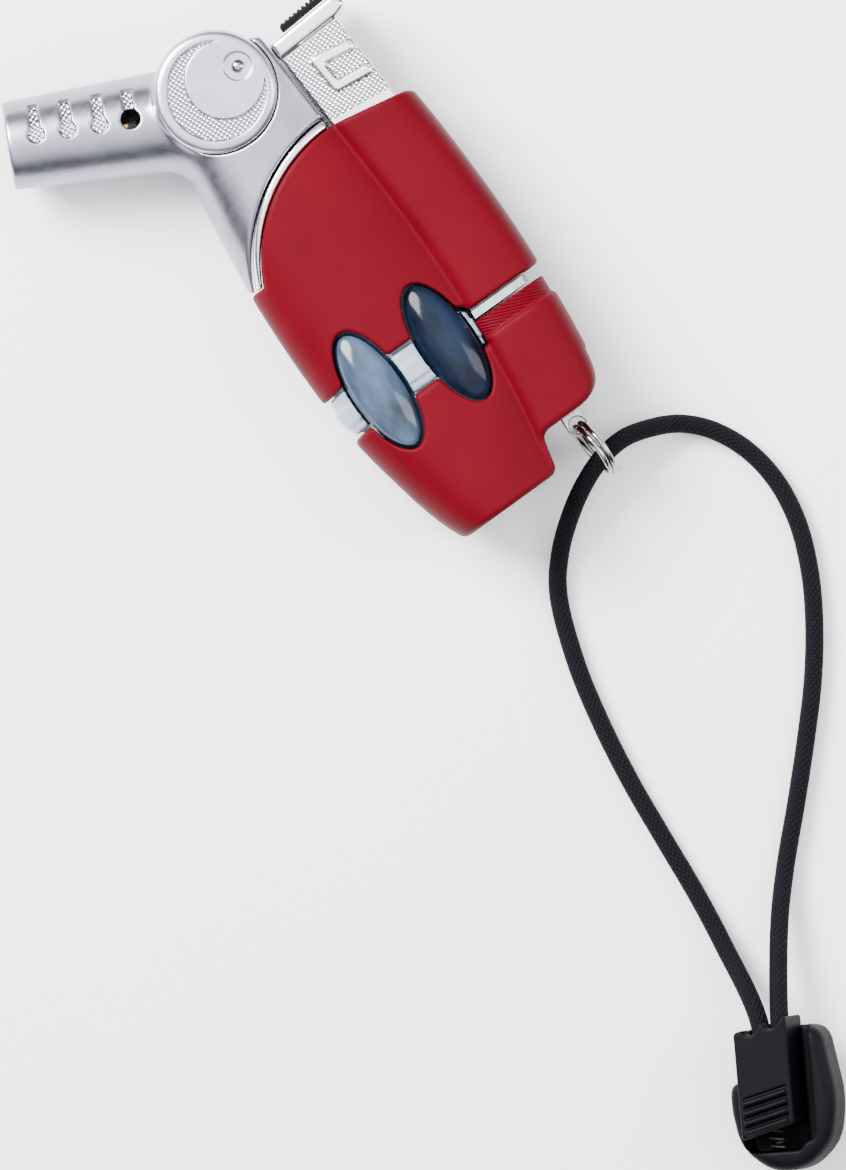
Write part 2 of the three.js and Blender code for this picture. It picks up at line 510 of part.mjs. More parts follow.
// from the lock, through the ring and back to the lock
function cordPoints() {
  const free = [[-4.6, -98, 3], [-3.9, -89.3, 1.6], [-3.6, -80, 1.5], [-3.2, -70, 1.5], [-2.2, -60, 1.5],
    [-0.4, -50, 1.5], [2.9, -40, 1.6], [6.3, -35.2, 2.6], [10.4, -31.4, 4.8], [14.8, -28.4, 7],
    [19.3, -26.4, 8.3], [23.5, -25.7, 7.4], [28, -26.6, 5.2], [32, -28.4, 3.2], [35.6, -31.8, 1.9],
    [38.4, -37.1, 1.5], [39.6, -43.4, 1.5], [39, -50.3, 1.5], [36.6, -57.5, 1.5], [33.2, -64.1, 1.5],
    [28.2, -71.6, 1.5], [22.4, -78.7, 1.5], [16.2, -85.8, 1.6], [9.5, -93.2, 2], [4.2, -99.8, 4]];
  return [lockPoint(-LOCK.cordX, 1), lockPoint(-LOCK.cordX, 11), ...free.map((p) => new THREE.Vector3(...p)),
    lockPoint(LOCK.cordX, 11), lockPoint(LOCK.cordX, 1)];
}

function addCordAndLock() {
  add('wrist_cord', tube(new THREE.CatmullRomCurve3(cordPoints()), CORD_RADIUS, 8, 64), cordBlack);

  const turned = new THREE.Group();
  turned.position.set(LOCK.x, LOCK.y, LOCK.z);
  turned.rotation.z = THREE.MathUtils.degToRad(LOCK.turn);
  parts.add(turned);
  const rolled = new THREE.Group();
  rolled.rotation.y = THREE.MathUtils.degToRad(LOCK.roll);
  turned.add(rolled);

  const outline = new THREE.Shape();
  outline.moveTo(-6.8, 10.3).lineTo(-8.6, -0.8).lineTo(-7.4, -7.5);
  outline.quadraticCurveTo(-6.6, -11.2, -2.6, -11.3).lineTo(2.6, -11.3);
  outline.quadraticCurveTo(6.6, -11.2, 7.4, -7.5).lineTo(8.6, -0.8).lineTo(6.8, 10.3);
  const housing = prism(outline, 0, 7.2, 1.4, 4).translate([LOCK.housingX, 0, 0]);
  const tray = box([-5.2, -8.4, 2.2], [5.2, 14, 9]);
  add('cord_lock_housing', cut(housing, tray), lockBlack, rolled);

  const block = prism([[-4.6, -6.3], [4, -6.3], [4, 12], [-4.6, 12]], 2.5, 9.6, 0.4);
  const ribs = [-5.4, -3.9, -2.4, -0.9].map((y) => box([-3.7, y, 9.2], [3.2, y + 0.7, 10.1]));
  const channel = new THREE.Shape();
  channel.absarc(-LOCK.cordX, LOCK.cordZ, CORD_RADIUS + GAP, Math.PI / 2, 3 * Math.PI / 2, false);
  channel.absarc(LOCK.cordX, LOCK.cordZ, CORD_RADIUS + GAP, -Math.PI / 2, Math.PI / 2, false);
  const channelExtrusion = { depth: 13, curveSegments: 8, bevelEnabled: false };
  const channelTool = solid(new THREE.ExtrudeGeometry(channel, channelExtrusion)
    .rotateX(Math.PI / 2).translate(0, 13.2, 0));
  const springWell = solid(new THREE.CylinderGeometry(1.9, 1.9, 6, 20).translate(0, -4.3, LOCK.cordZ));
  add('cord_lock_slider', cut(join(block, ...ribs), channelTool, springWell), lockBlack, rolled);
  add('cord_lock_spring', spring(1.4, 0.2, -8.1, -1.6, 5).translate(0, 0, LOCK.cordZ), steel, rolled);
}

// ---- assembly ----

addHead();
addDiscCap('front');
addDiscCap('back');
addBurner();
addNeckCollar();
addUpperShell();
addLowerShell();
addTank();
for (const window of WINDOWS) for (const side of ['front', 'back']) addWindow(window, side);
addButton();
addChassis();
addValve();
addRefill();
addLanyard();
addCordAndLock();

// the torch's own bottom centre becomes the origin; the cord and its lock don't count
const cordNodes = new Set(['wrist_cord', 'cord_lock_housing', 'cord_lock_slider', 'cord_lock_spring']);
parts.updateMatrixWorld(true);
const bounds = new THREE.Box3();
parts.traverse((node) => {
  if (node.isMesh && !cordNodes.has(node.name)) bounds.expandByObject(node, true);
});
const centre = bounds.getCenter(new THREE.Vector3());
parts.position.set(-centre.x, -centre.y, -bounds.min.z);

export default parts;
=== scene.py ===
"""A pocket butane torch on a wrist cord, lying on its broad side on a pale table.

The visible pieces are modelled as distance fields and turned into smooth meshes. They are drawn in
millimetres around the seam between the two shells, as the CAD parts are, and place() puts them into
the frame. Everything hidden inside keeps its CAD shape; the springs are copies with their own meshes.
"""

import bmesh
import bpy
import numpy as np
import openvdb as vdb
from mathutils import Matrix, Vector


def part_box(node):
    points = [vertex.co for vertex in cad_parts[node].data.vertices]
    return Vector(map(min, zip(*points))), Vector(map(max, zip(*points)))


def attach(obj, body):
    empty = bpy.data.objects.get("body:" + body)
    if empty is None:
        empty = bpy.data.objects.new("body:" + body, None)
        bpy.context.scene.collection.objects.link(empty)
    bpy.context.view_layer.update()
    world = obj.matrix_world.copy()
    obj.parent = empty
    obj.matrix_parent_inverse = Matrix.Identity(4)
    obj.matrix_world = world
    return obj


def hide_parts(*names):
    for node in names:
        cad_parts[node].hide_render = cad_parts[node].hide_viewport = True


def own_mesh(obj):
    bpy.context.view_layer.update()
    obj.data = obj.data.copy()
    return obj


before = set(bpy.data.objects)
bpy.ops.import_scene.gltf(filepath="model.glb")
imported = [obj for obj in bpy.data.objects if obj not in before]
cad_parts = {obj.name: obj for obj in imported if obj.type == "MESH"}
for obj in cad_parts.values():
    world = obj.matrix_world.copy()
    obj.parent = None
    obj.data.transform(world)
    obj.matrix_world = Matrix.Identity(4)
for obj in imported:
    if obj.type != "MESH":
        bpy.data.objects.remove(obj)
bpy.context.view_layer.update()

# ---- driving dimensions, in millimetres ----

MM = 0.001
THICKNESS = 20.0
MID = THICKNESS / 2
GAP = 0.3
WALL = 1.6

# The body's section is two lobes that meet in a valley, which runs RIDGE_WIDTH inside the right edge.
# EDGES holds heights with the left and the right edge at each.
BULGE = {"centre": 0.3, "left": 12.6, "right": 16.4, "height": 9.4, "power": 2.4}
RIDGE = {"centre": 18.0, "left": 7.0, "right": 9.0, "height": 8.7, "power": 3.6}
VALLEY = 13.0
VALLEY_JOIN = 0.45
RIDGE_WIDTH = 12.2
EDGES = [(-26, -4.4, 24.4), (-22.6, -6, 24.9), (-18, -7.6, 25.4), (-13, -8.9, 26.1), (-7, -10.3, 26.6),
         (0, -11.4, 26.9), (7, -11.95, 27.05), (14, -12.2, 26.9), (22, -12.15, 26.4), (30, -11.6, 25.7),
         (38, -10.9, 24.8), (46, -10.2, 24.1), (54, -9.5, 23.4)]

# The arcs on which the shell and the head end, as centre x, centre y and radius.
SHELL_ARC = (12.5, 13.0, 24.2)
HEAD_ARC = (12.9, 12.9, 25.9)

# The burner, from its mouth along its own axis, and the positions of the keyhole grooves on it.
MOUTH = (-30.75, 60.8)
BURNER_ANGLE = np.radians(-23.5)
BARREL = {"length": 30.0, "reach": 33.0, "mouth": 6.65, "root": 7.9, "bore": 5.4, "depth": 26.0}
GROOVES = (4.5, 9.3, 14.15, 18.8)
GROOVE_DEPTH = 0.55
AIR_HOLE = {"along": 18.8, "across": 1.0, "radius": 1.45}

DISC = (-0.2, 50.8)
DISC_RADIUS = 9.3
CAP_HEIGHT = 2.0
MOON_DEPTH = 0.5
PIT, PIT_RADIUS, PIT_DEPTH = (4.65, 52.25), 2.1, 0.55
PIN, PIN_RADIUS, PIN_DEPTH = (4.7, 52.2), 1.3, 1.35

WINDOWS = {"left": (-3.6, 0.0), "right": (8.9, 0.6)}
WINDOW_ACROSS, WINDOW_ALONG, WINDOW_LEAN = 4.0, 10.0, np.radians(2.5)
DOME_ACROSS, DOME_ALONG = 7.5, 17.0
LENS_WALL = 1.7
# The width of the band round each window's edge that is painted dark as shade.
RIM_SHADE_WIDTH = 0.35

# The tank's bores, as x, radius, lowest y and highest y.
REFILL_X, ADJUSTER_X = 1.5, 8.2
TANK_BORES = [(0, 3.3, 14.5, 20), (REFILL_X, 2.6, -23, -19), (ADJUSTER_X, 0.9, -23, -19)]
TANK_WELL = 5.0

BUTTON_AXIS = (18.0, 30.0)
BUTTON_TILT = np.radians(5.7)
BUTTON_DEPTH = 6.15
BUTTON_SIDES = (-5.2, 5.0)
BUTTON_PLAY = 0.25
LIP_DEPTH = 6.9

LUG = (18.8, -20.35)
LUG_HOLE = 1.3
LUG_RADIUS = 1.75
LUG_HEAD = 2.75
LUG_TOP = -14.8
RING_RADIUS, RING_WIRE, RING_PITCH, RING_TURNS, RING_HEIGHT = 4.35, 0.42, 0.95, 1.94, 9.4
RING_LEAN, RING_ROLL = np.radians(6), np.radians(12)

CORD_RADIUS = 1.4
LOCK = (-8.3, -122.2, 2.4)
HOUSING_X = 1.2
LOCK_TURN, LOCK_ROLL = np.radians(-27.5), np.radians(-22)
LOCK_SLANT = 0.24
LOCK_CORD_X, LOCK_CORD_Z = 1.6, 5.6
CORD_END_Y, CORD_EXIT_Y = 1, 11

COARSE = 1.0

# Where the drawing's origin lies in the frame, found from the front disc cap.
disc_low, disc_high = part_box("disc_cap_front")
SHIFT = Vector(((disc_low[0] + disc_high[0]) / 2 - DISC[0] * MM,
                (disc_low[1] + disc_high[1]) / 2 - DISC[1] * MM, disc_high[2] - THICKNESS * MM))


def place(x, y, z):
    """A drawn point, in millimetres, as a point of the frame."""
    return Vector((x, y, z)) * MM + SHIFT


# ---- camera ----


def add_camera():
    """Straight above, rolled so that the torch stands askew with its button at the top left."""
    metres_above, lens, far_limit = 2.925, 600, 10
    aim = place(-13.63, -28.1, MID)
    roll = np.radians(-32.5)
    data = bpy.data.cameras.new("camera")
    data.lens = lens
    data.clip_end = far_limit
    camera = bpy.data.objects.new("camera", data)
    camera.location = aim + Vector((0, 0, metres_above))
    camera.rotation_euler = (0, 0, roll)
    bpy.context.collection.objects.link(camera)
    bpy.context.scene.camera = camera


add_camera()

# ---- materials ----


def new_material(name, color, roughness, metallic=0.0, **sockets):
    """A material with a Principled shader, and its node tree and shader."""
    made = bpy.data.materials.new(name)
    made.use_nodes = True
    shader = made.node_tree.nodes["Principled BSDF"]
    shader.inputs["Base Color"].default_value = (*color, 1)
    shader.inputs["Roughness"].default_value = roughness
    shader.inputs["Metallic"].default_value = metallic
    for key, value in sockets.items():
        shader.inputs[key.replace("_", " ")].default_value = value
    return made, made.node_tree, shader


def in_object_space(tree, kind, scale, **settings):
    """A texture of a kind, fed with object space through a mapping with the given settings."""
    coords = tree.nodes.new("ShaderNodeTexCoord")
    mapping = tree.nodes.new("ShaderNodeMapping")
    for socket, value in settings.items():
        mapping.inputs[socket].default_value = value
    texture = tree.nodes.new(kind)
    texture.inputs["Scale"].default_value = scale
    tree.links.new(coords.outputs["Object"], mapping.inputs["Vector"])
    tree.links.new(mapping.outputs["Vector"], texture.inputs["Vector"])
    return texture


def noise(tree, scale, detail, stretch=(1, 1, 1)):
    """Noise with about scale features per metre."""
    texture = in_object_space(tree, "ShaderNodeTexNoise", scale, Scale=stretch)
    texture.inputs["Detail"].default_value = detail
    return texture.outputs["Fac"]


def ramp(tree, value, low, high, start=0.3, end=0.7):
    """A colour that goes from low to high as the value goes from start to end."""
    made = tree.nodes.new("ShaderNodeValToRGB")
    made.color_ramp.elements[0].position = start
    made.color_ramp.elements[0].color = (*low, 1)
    made.color_ramp.elements[1].position = end
    made.color_ramp.elements[1].color = (*high, 1)
    tree.links.new(value, made.inputs["Fac"])
    return made.outputs["Color"]


def waves(tree, pitch, turn):
    """Parallel ridges in the XY plane: pitch in metres, turn in degrees."""
    rotation = (0, 0, np.radians(turn))
    return in_object_space(tree, "ShaderNodeTexWave", np.pi / 10 / pitch, Rotation=rotation).outputs["Fac"]


def tint(tree, shader, value, base, low, high, start=0.3, end=0.7):
    """A base colour that goes from low times base to high times base with the value."""
    shades = [tuple(channel * factor for channel in base) for factor in (low, high)]
    tree.links.new(ramp(tree, value, *shades, start, end), shader.inputs["Base Color"])


def roughen(tree, shader, value, low, high):
    """A roughness that goes from low to high with the value."""
    made = tree.nodes.new("ShaderNodeMapRange")
    made.inputs["To Min"].default_value = low
    made.inputs["To Max"].default_value = high
    tree.links.new(value, made.inputs["Value"])
    tree.links.new(made.outputs["Result"], shader.inputs["Roughness"])


def product(tree, first, second):
    """Two values multiplied."""
    made = tree.nodes.new("ShaderNodeMath")
    made.operation = "MULTIPLY"
    tree.links.new(first, made.inputs[0])
    tree.links.new(second, made.inputs[1])
    return made.outputs["Value"]


def bump(tree, shader, value, depth, strength=1.0, base=None):
    """A bump of the given depth in metres, on top of another one if given."""
    made = tree.nodes.new("ShaderNodeBump")
    made.inputs["Strength"].default_value = strength
    made.inputs["Distance"].default_value = depth
    tree.links.new(value, made.inputs["Height"])
    if base:
        tree.links.new(base.outputs["Normal"], made.inputs["Normal"])
    tree.links.new(made.outputs["Normal"], shader.inputs["Normal"])
    return made


def cast_silver(name, base):
    """Satin plated casting: soft mottling, a fine grain and a slightly uneven gloss."""
    made, tree, shader = new_material(name, base, 0.3, 1.0)
    tint(tree, shader, noise(tree, 260, 4), base, 0.9, 1.08)
    roughen(tree, shader, noise(tree, 900, 3), 0.24, 0.4)
    mottling = bump(tree, shader, noise(tree, 420, 2), depth=0.00004, strength=0.5)
    bump(tree, shader, noise(tree, 5200, 2), depth=0.00001, strength=0.4, base=mottling)
    return made


def bright_silver(name, base, pitch=None):
    """Bright plating, smooth or with a fine knurl of the given pitch in metres; its valleys are painted
    shade.
    """
    made, tree, shader = new_material(name, base, 0.3 if pitch else 0.2, 1.0)
    roughen(tree, shader, noise(tree, 700, 3), 0.13, 0.26)
    waviness = bump(tree, shader, noise(tree, 350, 2), depth=0.00002, strength=0.4)
    if pitch:
        knurl = product(tree, waves(tree, pitch, -25), waves(tree, pitch, 65))
        # Painted shade: the knurl's valleys are darkened in the base colour.
        tint(tree, shader, knurl, base, 0.42, 1.0, start=0.05, end=0.6)
        bump(tree, shader, knurl, depth=0.0001, base=waviness)
    return made


def polished_nickel():
    """Polished plating with faint marks."""
    made, tree, shader = new_material("polished_nickel", (0.38, 0.36, 0.34), 0.12, 1.0)
    roughen(tree, shader, noise(tree, 1500, 4, stretch=(1, 1, 6)), 0.07, 0.22)
    bump(tree, shader, noise(tree, 2600, 3, stretch=(1, 1, 8)), depth=0.000008, strength=0.5)
    return made


def red_plastic(name="red_plastic", ribs=None):
    """Soft-touch paint with faint clouding and a very fine grain, and ribs of a pitch in metres if given."""
    base = (0.084, 0.0008, 0.0052)
    made, tree, shader = new_material(name, base, 0.55, Specular_IOR_Level=0.05)
    tint(tree, shader, noise(tree, 90, 4), base, 0.9, 1.06)
    roughen(tree, shader, noise(tree, 1400, 3), 0.42, 0.56)
    grain = bump(tree, shader, noise(tree, 9000, 2), depth=0.00001, strength=0.35)
    if ribs:
        bump(tree, shader, waves(tree, ribs, -70), depth=0.00012, base=grain)
    return made


def clear_plastic(name, base, roughness, transmission, specular, clouds=(0.86, 1.1)):
    """Translucent moulded plastic with a little haze and flow marks; clouds scale its base colour."""
    made, tree, shader = new_material(name, base, roughness, Transmission_Weight=transmission, IOR=1.49,
                                      Specular_IOR_Level=specular)
    tint(tree, shader, noise(tree, 260, 3, stretch=(1, 0.4, 1)), base, *clouds)
    roughen(tree, shader, noise(tree, 800, 3), roughness * 0.7, roughness * 1.4)
    bump(tree, shader, noise(tree, 500, 2), depth=0.00001, strength=0.4)
    return made


def moulded_plastic(name, base, roughness, grain=4500, depth=0.00002, specular=0.3):
    """An opaque moulded or sintered material with a fine grain."""
    made, tree, shader = new_material(name, base, roughness, Specular_IOR_Level=specular)
    tint(tree, shader, noise(tree, 300, 3), base, 0.82, 1.15)
    roughen(tree, shader, noise(tree, 1200, 3), roughness * 0.85, min(1, roughness * 1.2))
    bump(tree, shader, noise(tree, grain, 2), depth=depth, strength=0.6)
    return made


def turned_metal(name, base, roughness):
    """Machined or drawn metal with fine tool marks."""
    made, tree, shader = new_material(name, base, roughness, 1.0)
    tint(tree, shader, noise(tree, 500, 3), base, 0.85, 1.1)
    roughen(tree, shader, noise(tree, 2200, 3), roughness * 0.7, roughness * 1.4)
    bump(tree, shader, noise(tree, 3500, 3), depth=0.00001, strength=0.5)
    return made


def braided_cord():
    """Fine braid: two sets of yarn that cross, from the tube's own coordinates, with painted highlight and
    shade.
    """
    base = (0.003, 0.0033, 0.005)
    yarn_angle = np.radians(38)
    made, tree, shader = new_material("braided_cord", base, 0.75, Specular_IOR_Level=0.08)
    uv = tree.nodes.new("ShaderNodeUVMap")
    uv.uv_map = "braid"
    yarns = []
    for turn in (1, -1):
        mapping = tree.nodes.new("ShaderNodeMapping")
        mapping.inputs["Rotation"].default_value = (0, 0, turn * yarn_angle)
        wave = tree.nodes.new("ShaderNodeTexWave")
        wave.inputs["Scale"].default_value = 0.5
        wave.inputs["Distortion"].default_value = 0.35
        wave.inputs["Detail Scale"].default_value = 2.0
        tree.links.new(uv.outputs["UV"], mapping.inputs["Vector"])
        tree.links.new(mapping.outputs["Vector"], wave.inputs["Vector"])
        yarns.append(wave.outputs["Fac"])
    crossing = product(tree, *yarns)
    # Painted highlight and shade: the yarns' crossings are lighter and the hollows between them darker.
    tint(tree, shader, crossing, base, 0.7, 1.8, start=0.05, end=0.7)
    fuzz = bump(tree, shader, noise(tree, 9000, 3), depth=0.00004, strength=0.5)
    bump(tree, shader, crossing, depth=0.00022, strength=0.9, base=fuzz)
    return made


KNURL_PITCH, RIB_PITCH = 0.00058, 0.00045
CAST = cast_silver("cast_silver", (0.31, 0.308, 0.365))
CAP = cast_silver("cap_silver", (0.5, 0.495, 0.56))
BRIGHT = bright_silver("bright_silver", (0.93, 0.93, 0.95))
GRAINED = bright_silver("grained_silver", (0.74, 0.74, 0.77), KNURL_PITCH)
GROOVED = bright_silver("grooved_silver", (0.6, 0.6, 0.66), KNURL_PITCH)
NICKEL = polished_nickel()
RED = red_plastic()
RIBBED_RED = red_plastic("ribbed_red", RIB_PITCH)
TANK = clear_plastic("tank_plastic", (0.44, 0.53, 0.65), 0.22, 0.45, 0.35)
# The right window's plastic is made far darker than the left's, though both are the same plastic: painted
# shade.
LENSES = {
    "left": clear_plastic("window_pale", (0.047, 0.074, 0.117), 0.12, 0.25, 0.25, clouds=(0.4, 1.8)),
    "right": clear_plastic("window_painted_shade", (0.0032, 0.006, 0.0135), 0.12, 0.08, 0.12, clouds=(0.4, 2.6)),
}
# Painted shade: the dark band round each window's edge and the walls of the wells behind the windows.
RIM_SHADE = clear_plastic("window_rim_shade", (0.006, 0.012, 0.025), 0.2, 0.05, 0.1)
BLACK = moulded_plastic("black_plastic", (0.002, 0.002, 0.003), 0.5, specular=0.07)
LOCK_BLACK = moulded_plastic("lock_plastic", (0.0018, 0.0016, 0.0028), 0.5, 5200, 0.00003, 0.07)
STEEL = turned_metal("steel", (0.5, 0.51, 0.53), 0.3)
# Painted shade: near-black steel for the cord lock's spring, so that the gap under the slider looks dark.
SPRING_SHADE_STEEL = turned_metal("spring_shade_steel", (0.03, 0.03, 0.032), 0.4)
BRASS = turned_metal("brass", (0.68, 0.47, 0.17), 0.28)
CERAMIC = moulded_plastic("ceramic", (0.82, 0.78, 0.7), 0.55)
RUBBER = moulded_plastic("rubber", (0.012, 0.012, 0.012), 0.8)
HOSE = moulded_plastic("hose", (0.03, 0.03, 0.035), 0.45)
WIRE = moulded_plastic("wire_sleeve", (0.3, 0.02, 0.02), 0.45)
CORD = braided_cord()

# ---- distance fields: negative inside, in millimetres ----


def smooth_max(a, b, k):
    """The overlap of two solids, with the new edge rounded by about k."""
    blend = np.maximum(k - np.abs(a - b), 0) / k
    return np.maximum(a, b) + blend * blend * k * 0.25


def smooth_min(a, b, k):
    """Two solids joined, with the new corner filled by about k."""
    return -smooth_max(-a, -b, k)


def carve(solid, tool, k):
    """A solid without a tool's shape, with the cut's rim rounded by about k."""
    return smooth_max(solid, -tool, k)


class Grid:
    """Sample points around a box, and the mesh of a field on them."""

    def __init__(self, low, high, step):
        self.step = step * COARSE
        margin = 3 * self.step
        self.low = np.array(low, float) - margin
        counts = np.ceil((np.array(high, float) + margin - self.low) / self.step).astype(int) + 1
        axes = [np.float32(self.low[i] + np.arange(counts[i]) * self.step) for i in range(3)]
        self.x, self.y, self.z = np.meshgrid(*axes, indexing="ij", sparse=True)
        self.shape = tuple(counts)

    def slope(self, field):
        """How fast a field changes, to turn it into a distance."""
        parts = np.gradient(np.broadcast_to(field, self.shape), self.step)
        return np.sqrt(sum(part * part for part in parts))

    def mesh(self, name, field, material, to_frame=place):
        """An object for the surface where the field is zero, put into the frame by to_frame."""
        reach = 3.0
        grid = vdb.FloatGrid(reach)
        whole = np.broadcast_to(field, self.shape) / self.step
        grid.copyFromArray(np.ascontiguousarray(np.clip(whole, -reach, reach), dtype=np.float32))
        grid.gridClass = vdb.GridClass.LEVEL_SET
        points, triangles, quads = grid.convertToPolygons(0.0, 0.0)
        points = points * self.step + self.low
        origin, ways = to_frame(0, 0, 0), [to_frame(*axis) for axis in np.eye(3)]
        turn = np.array([way - origin for way in ways])
        points = points @ turn + np.array(origin)
        data = bpy.data.meshes.new(name)
        faces = [face[::-1] for face in quads.tolist()] + [face[::-1] for face in triangles.tolist()]
        data.from_pydata(points.tolist(), [], faces)
        data.update()
        data.shade_smooth()
        data.materials.append(material)
        made = bpy.data.objects.new(name, data)
        bpy.context.collection.objects.link(made)
        return made


def grain_and_shade(made, material, inside):
    """A second material for grain, ribs and painted shade, on the faces where inside(x, y, z) holds, in drawn
    millimetres.
    """
    made.data.materials.append(material)
    centres = np.empty(len(made.data.polygons) * 3, np.float32)
    made.data.polygons.foreach_get("center", centres)
    drawn = (centres.reshape(-1, 3) - np.array(SHIFT)) / MM
    made.data.polygons.foreach_set("material_index", inside(*drawn.T).astype(np.int32))
    return made


def polygon(points, x, y):
    """Distance to an outline in the XY plane."""
    x, y = np.broadcast_arrays(x, y)
    closest = np.full(x.shape, 1e9, np.float32)
    inside = np.zeros(x.shape, bool)
    for (ax, ay), (bx, by) in zip(points, points[1:] + points[:1]):
        ex, ey = bx - ax, by - ay
        along = np.clip(((x - ax) * ex + (y - ay) * ey) / (ex * ex + ey * ey + 1e-12), 0, 1)
        closest = np.minimum(closest, (x - ax - along * ex) ** 2 + (y - ay - along * ey) ** 2)
        if ay != by:
            crosses = (y > ay) != (y > by)
            inside ^= crosses & (x < ax + (y - ay) * ex / ey)
    return np.where(inside, -1, 1) * np.sqrt(closest)


def arc(centre_x, centre_y, radius, start, end):
    """Points of an arc between two angles in degrees."""
    count = 40
    angles = np.radians(np.linspace(start, end, count))
    return [(centre_x + radius * np.cos(a), centre_y + radius * np.sin(a)) for a in angles]


def curve_corner(start, corner, end, count=8):
    """Points of a corner that is rounded from start to end."""
    t = np.linspace(0, 1, count)[:, None]
    points = (1 - t) ** 2 * np.array(start) + 2 * t * (1 - t) * np.array(corner) + t ** 2 * np.array(end)
    return [tuple(point) for point in points]


def rounded(points, radius, count=6):
    """An outline with each corner rounded."""
    most_of_edge = 0.45
    result = []
    for i, corner in enumerate(np.array(points, float)):
        before, after = np.array(points[i - 1], float), np.array(points[(i + 1) % len(points)], float)
        reach = [min(radius, np.linalg.norm(p - corner) * most_of_edge) for p in (before, after)]
        start = corner + (before - corner) / np.linalg.norm(before - corner) * reach[0]
        end = corner + (after - corner) / np.linalg.norm(after - corner) * reach[1]
        result += curve_corner(start, corner, end, count)
    return result


def rectangle(left, low, right, high):
    """The outline of an upright rectangle."""
    return [(left, low), (right, low), (right, high), (left, high)]


def slab(z, low, high):
    """Distance to the space between two parallel planes."""
    return np.abs(z - (low + high) / 2) - (high - low) / 2


def prism(outline, low, high, x, y, z, k):
    """An outline from one height to another, with its long edges rounded by k."""
    return smooth_max(polygon(outline, x, y), slab(z, low, high), k)


def rod(x, y, centre, radius):
    """Distance to a round bar that stands on the XY plane."""
    return np.hypot(x - centre[0], y - centre[1]) - radius


def block(x, y, z, low, high, radius):
    """A box with rounded edges."""
    away = [np.abs(v - (a + b) / 2) - (b - a) / 2 + radius for v, a, b in zip((x, y, z), low, high)]
    outside = np.sqrt(sum(np.maximum(d, 0) ** 2 for d in away))
    return outside + np.minimum(np.maximum(np.maximum(away[0], away[1]), away[2]), 0) - radius


def ellipse(x, y, centre, grow=0.0):
    """Distance to a window's outline."""
    cos, sin = np.cos(WINDOW_LEAN), np.sin(WINDOW_LEAN)
    across = (x - centre[0]) * cos + (y - centre[1]) * sin
    along = -(x - centre[0]) * sin + (y - centre[1]) * cos
    a, b = WINDOW_ACROSS + grow, WINDOW_ALONG + grow
    unit = np.hypot(across / a, along / b)
    slope = np.hypot(across / a ** 2, along / b ** 2) / np.maximum(unit, 1e-3)
    return (unit - 1) / np.maximum(slope, 1e-3)


def window_wells(x, y):
    """Distance to the holes that the two windows sit in."""
    return np.minimum(ellipse(x, y, WINDOWS["left"], GAP), ellipse(x, y, WINDOWS["right"], GAP))


# ---- the body's outer form ----


def edge_at(column, y):
    """The body's left or right edge at a height, on a smooth curve through the table."""
    heights = np.array([row[0] for row in EDGES], float)
    edge = np.array([row[column] for row in EDGES], float)
    slopes = np.gradient(edge, heights)
    y = np.clip(y, heights[0], heights[-1])
    i = np.clip(np.searchsorted(heights, y) - 1, 0, len(heights) - 2)
    span = heights[i + 1] - heights[i]
    t = (y - heights[i]) / span
    return ((2 * t ** 3 - 3 * t ** 2 + 1) * edge[i] + (t ** 3 - 2 * t ** 2 + t) * span * slopes[i]
            + (3 * t ** 2 - 2 * t ** 3) * edge[i + 1] + (t ** 3 - t ** 2) * span * slopes[i + 1])


def lobe(shape, x, z):
    """A lobe's level: 1 on its surface and less inside. z is from the middle plane."""
    reach = np.where(x < shape["centre"], shape["left"], shape["right"])
    p = shape["power"]
    return (np.abs((x - shape["centre"]) / reach) ** p + np.abs(z / shape["height"]) ** p) ** (1 / p)


def body_form(g):
    """Distance to the whole body's form on a grid."""
    crease = edge_at(2, g.y) - RIDGE_WIDTH
    left = (crease - edge_at(1, g.y)) / (VALLEY + BULGE["left"] - BULGE["centre"])
    right = RIDGE_WIDTH / (RIDGE["centre"] + RIDGE["right"] - VALLEY)
    x = VALLEY + (g.x - crease) / np.where(g.x < crease, left, right)
    least_slope = 0.02
    distances = []
    for shape in (BULGE, RIDGE):
        level = np.broadcast_to(lobe(shape, x, g.z - MID), g.shape)
        distances.append(((level - 1) / np.maximum(g.slope(level), least_slope)).astype(np.float32))
    return smooth_min(distances[0], distances[1], VALLEY_JOIN)


# ---- shells, tank, windows and collar ----


def cut_form(g, form, outline, k, inset=0.0):
    """The body's form, set in from its surface and cut to an outline with edges rounded by k."""
    return smooth_max(form + inset, polygon(outline, g.x, g.y), k)


def upper_outline():
    """The edge of the upper shell as seen from above."""
    below_ridge = curve_corner((13, 4.1), (13.9, 4), (14.3, 2.9), 5)
    beside_button = curve_corner((25.6, 34.9), (24.9, 35.5), (23.6, 35.8), 5)
    top_of_arc = (12.6, SHELL_ARC[1] + SHELL_ARC[2])
    return ([(-14, 2.2), (-7.7, 3.3), (5, 3.9), (13, 4.1)] + below_ridge + [(28, 3.5), (28, 34.5)]
            + beside_button + [top_of_arc] + arc(*SHELL_ARC, 90, 157.7) + [(-14, 22.1)])


def lower_outline():
    """The edge of the lower shell as seen from above."""
    return ([(-14, -4.9), (-7.1, -3.9), (5, -3.2), (13, -2.9), (14.1, -2.9), (14.1, -1.7)]
            + [(28, -1.1), (28, -12.5)] + curve_corner((26.2, -11.5), (25.8, -18), (20, -18.15), 12)
            + curve_corner((15.2, -18.45), (13.5, -18.6), (13.3, -20), 8)
            + curve_corner((12.7, -23.4), (12.4, -24.7), (11, -24.75), 6) + [(-4.6, -25.68), (-14, -26)])


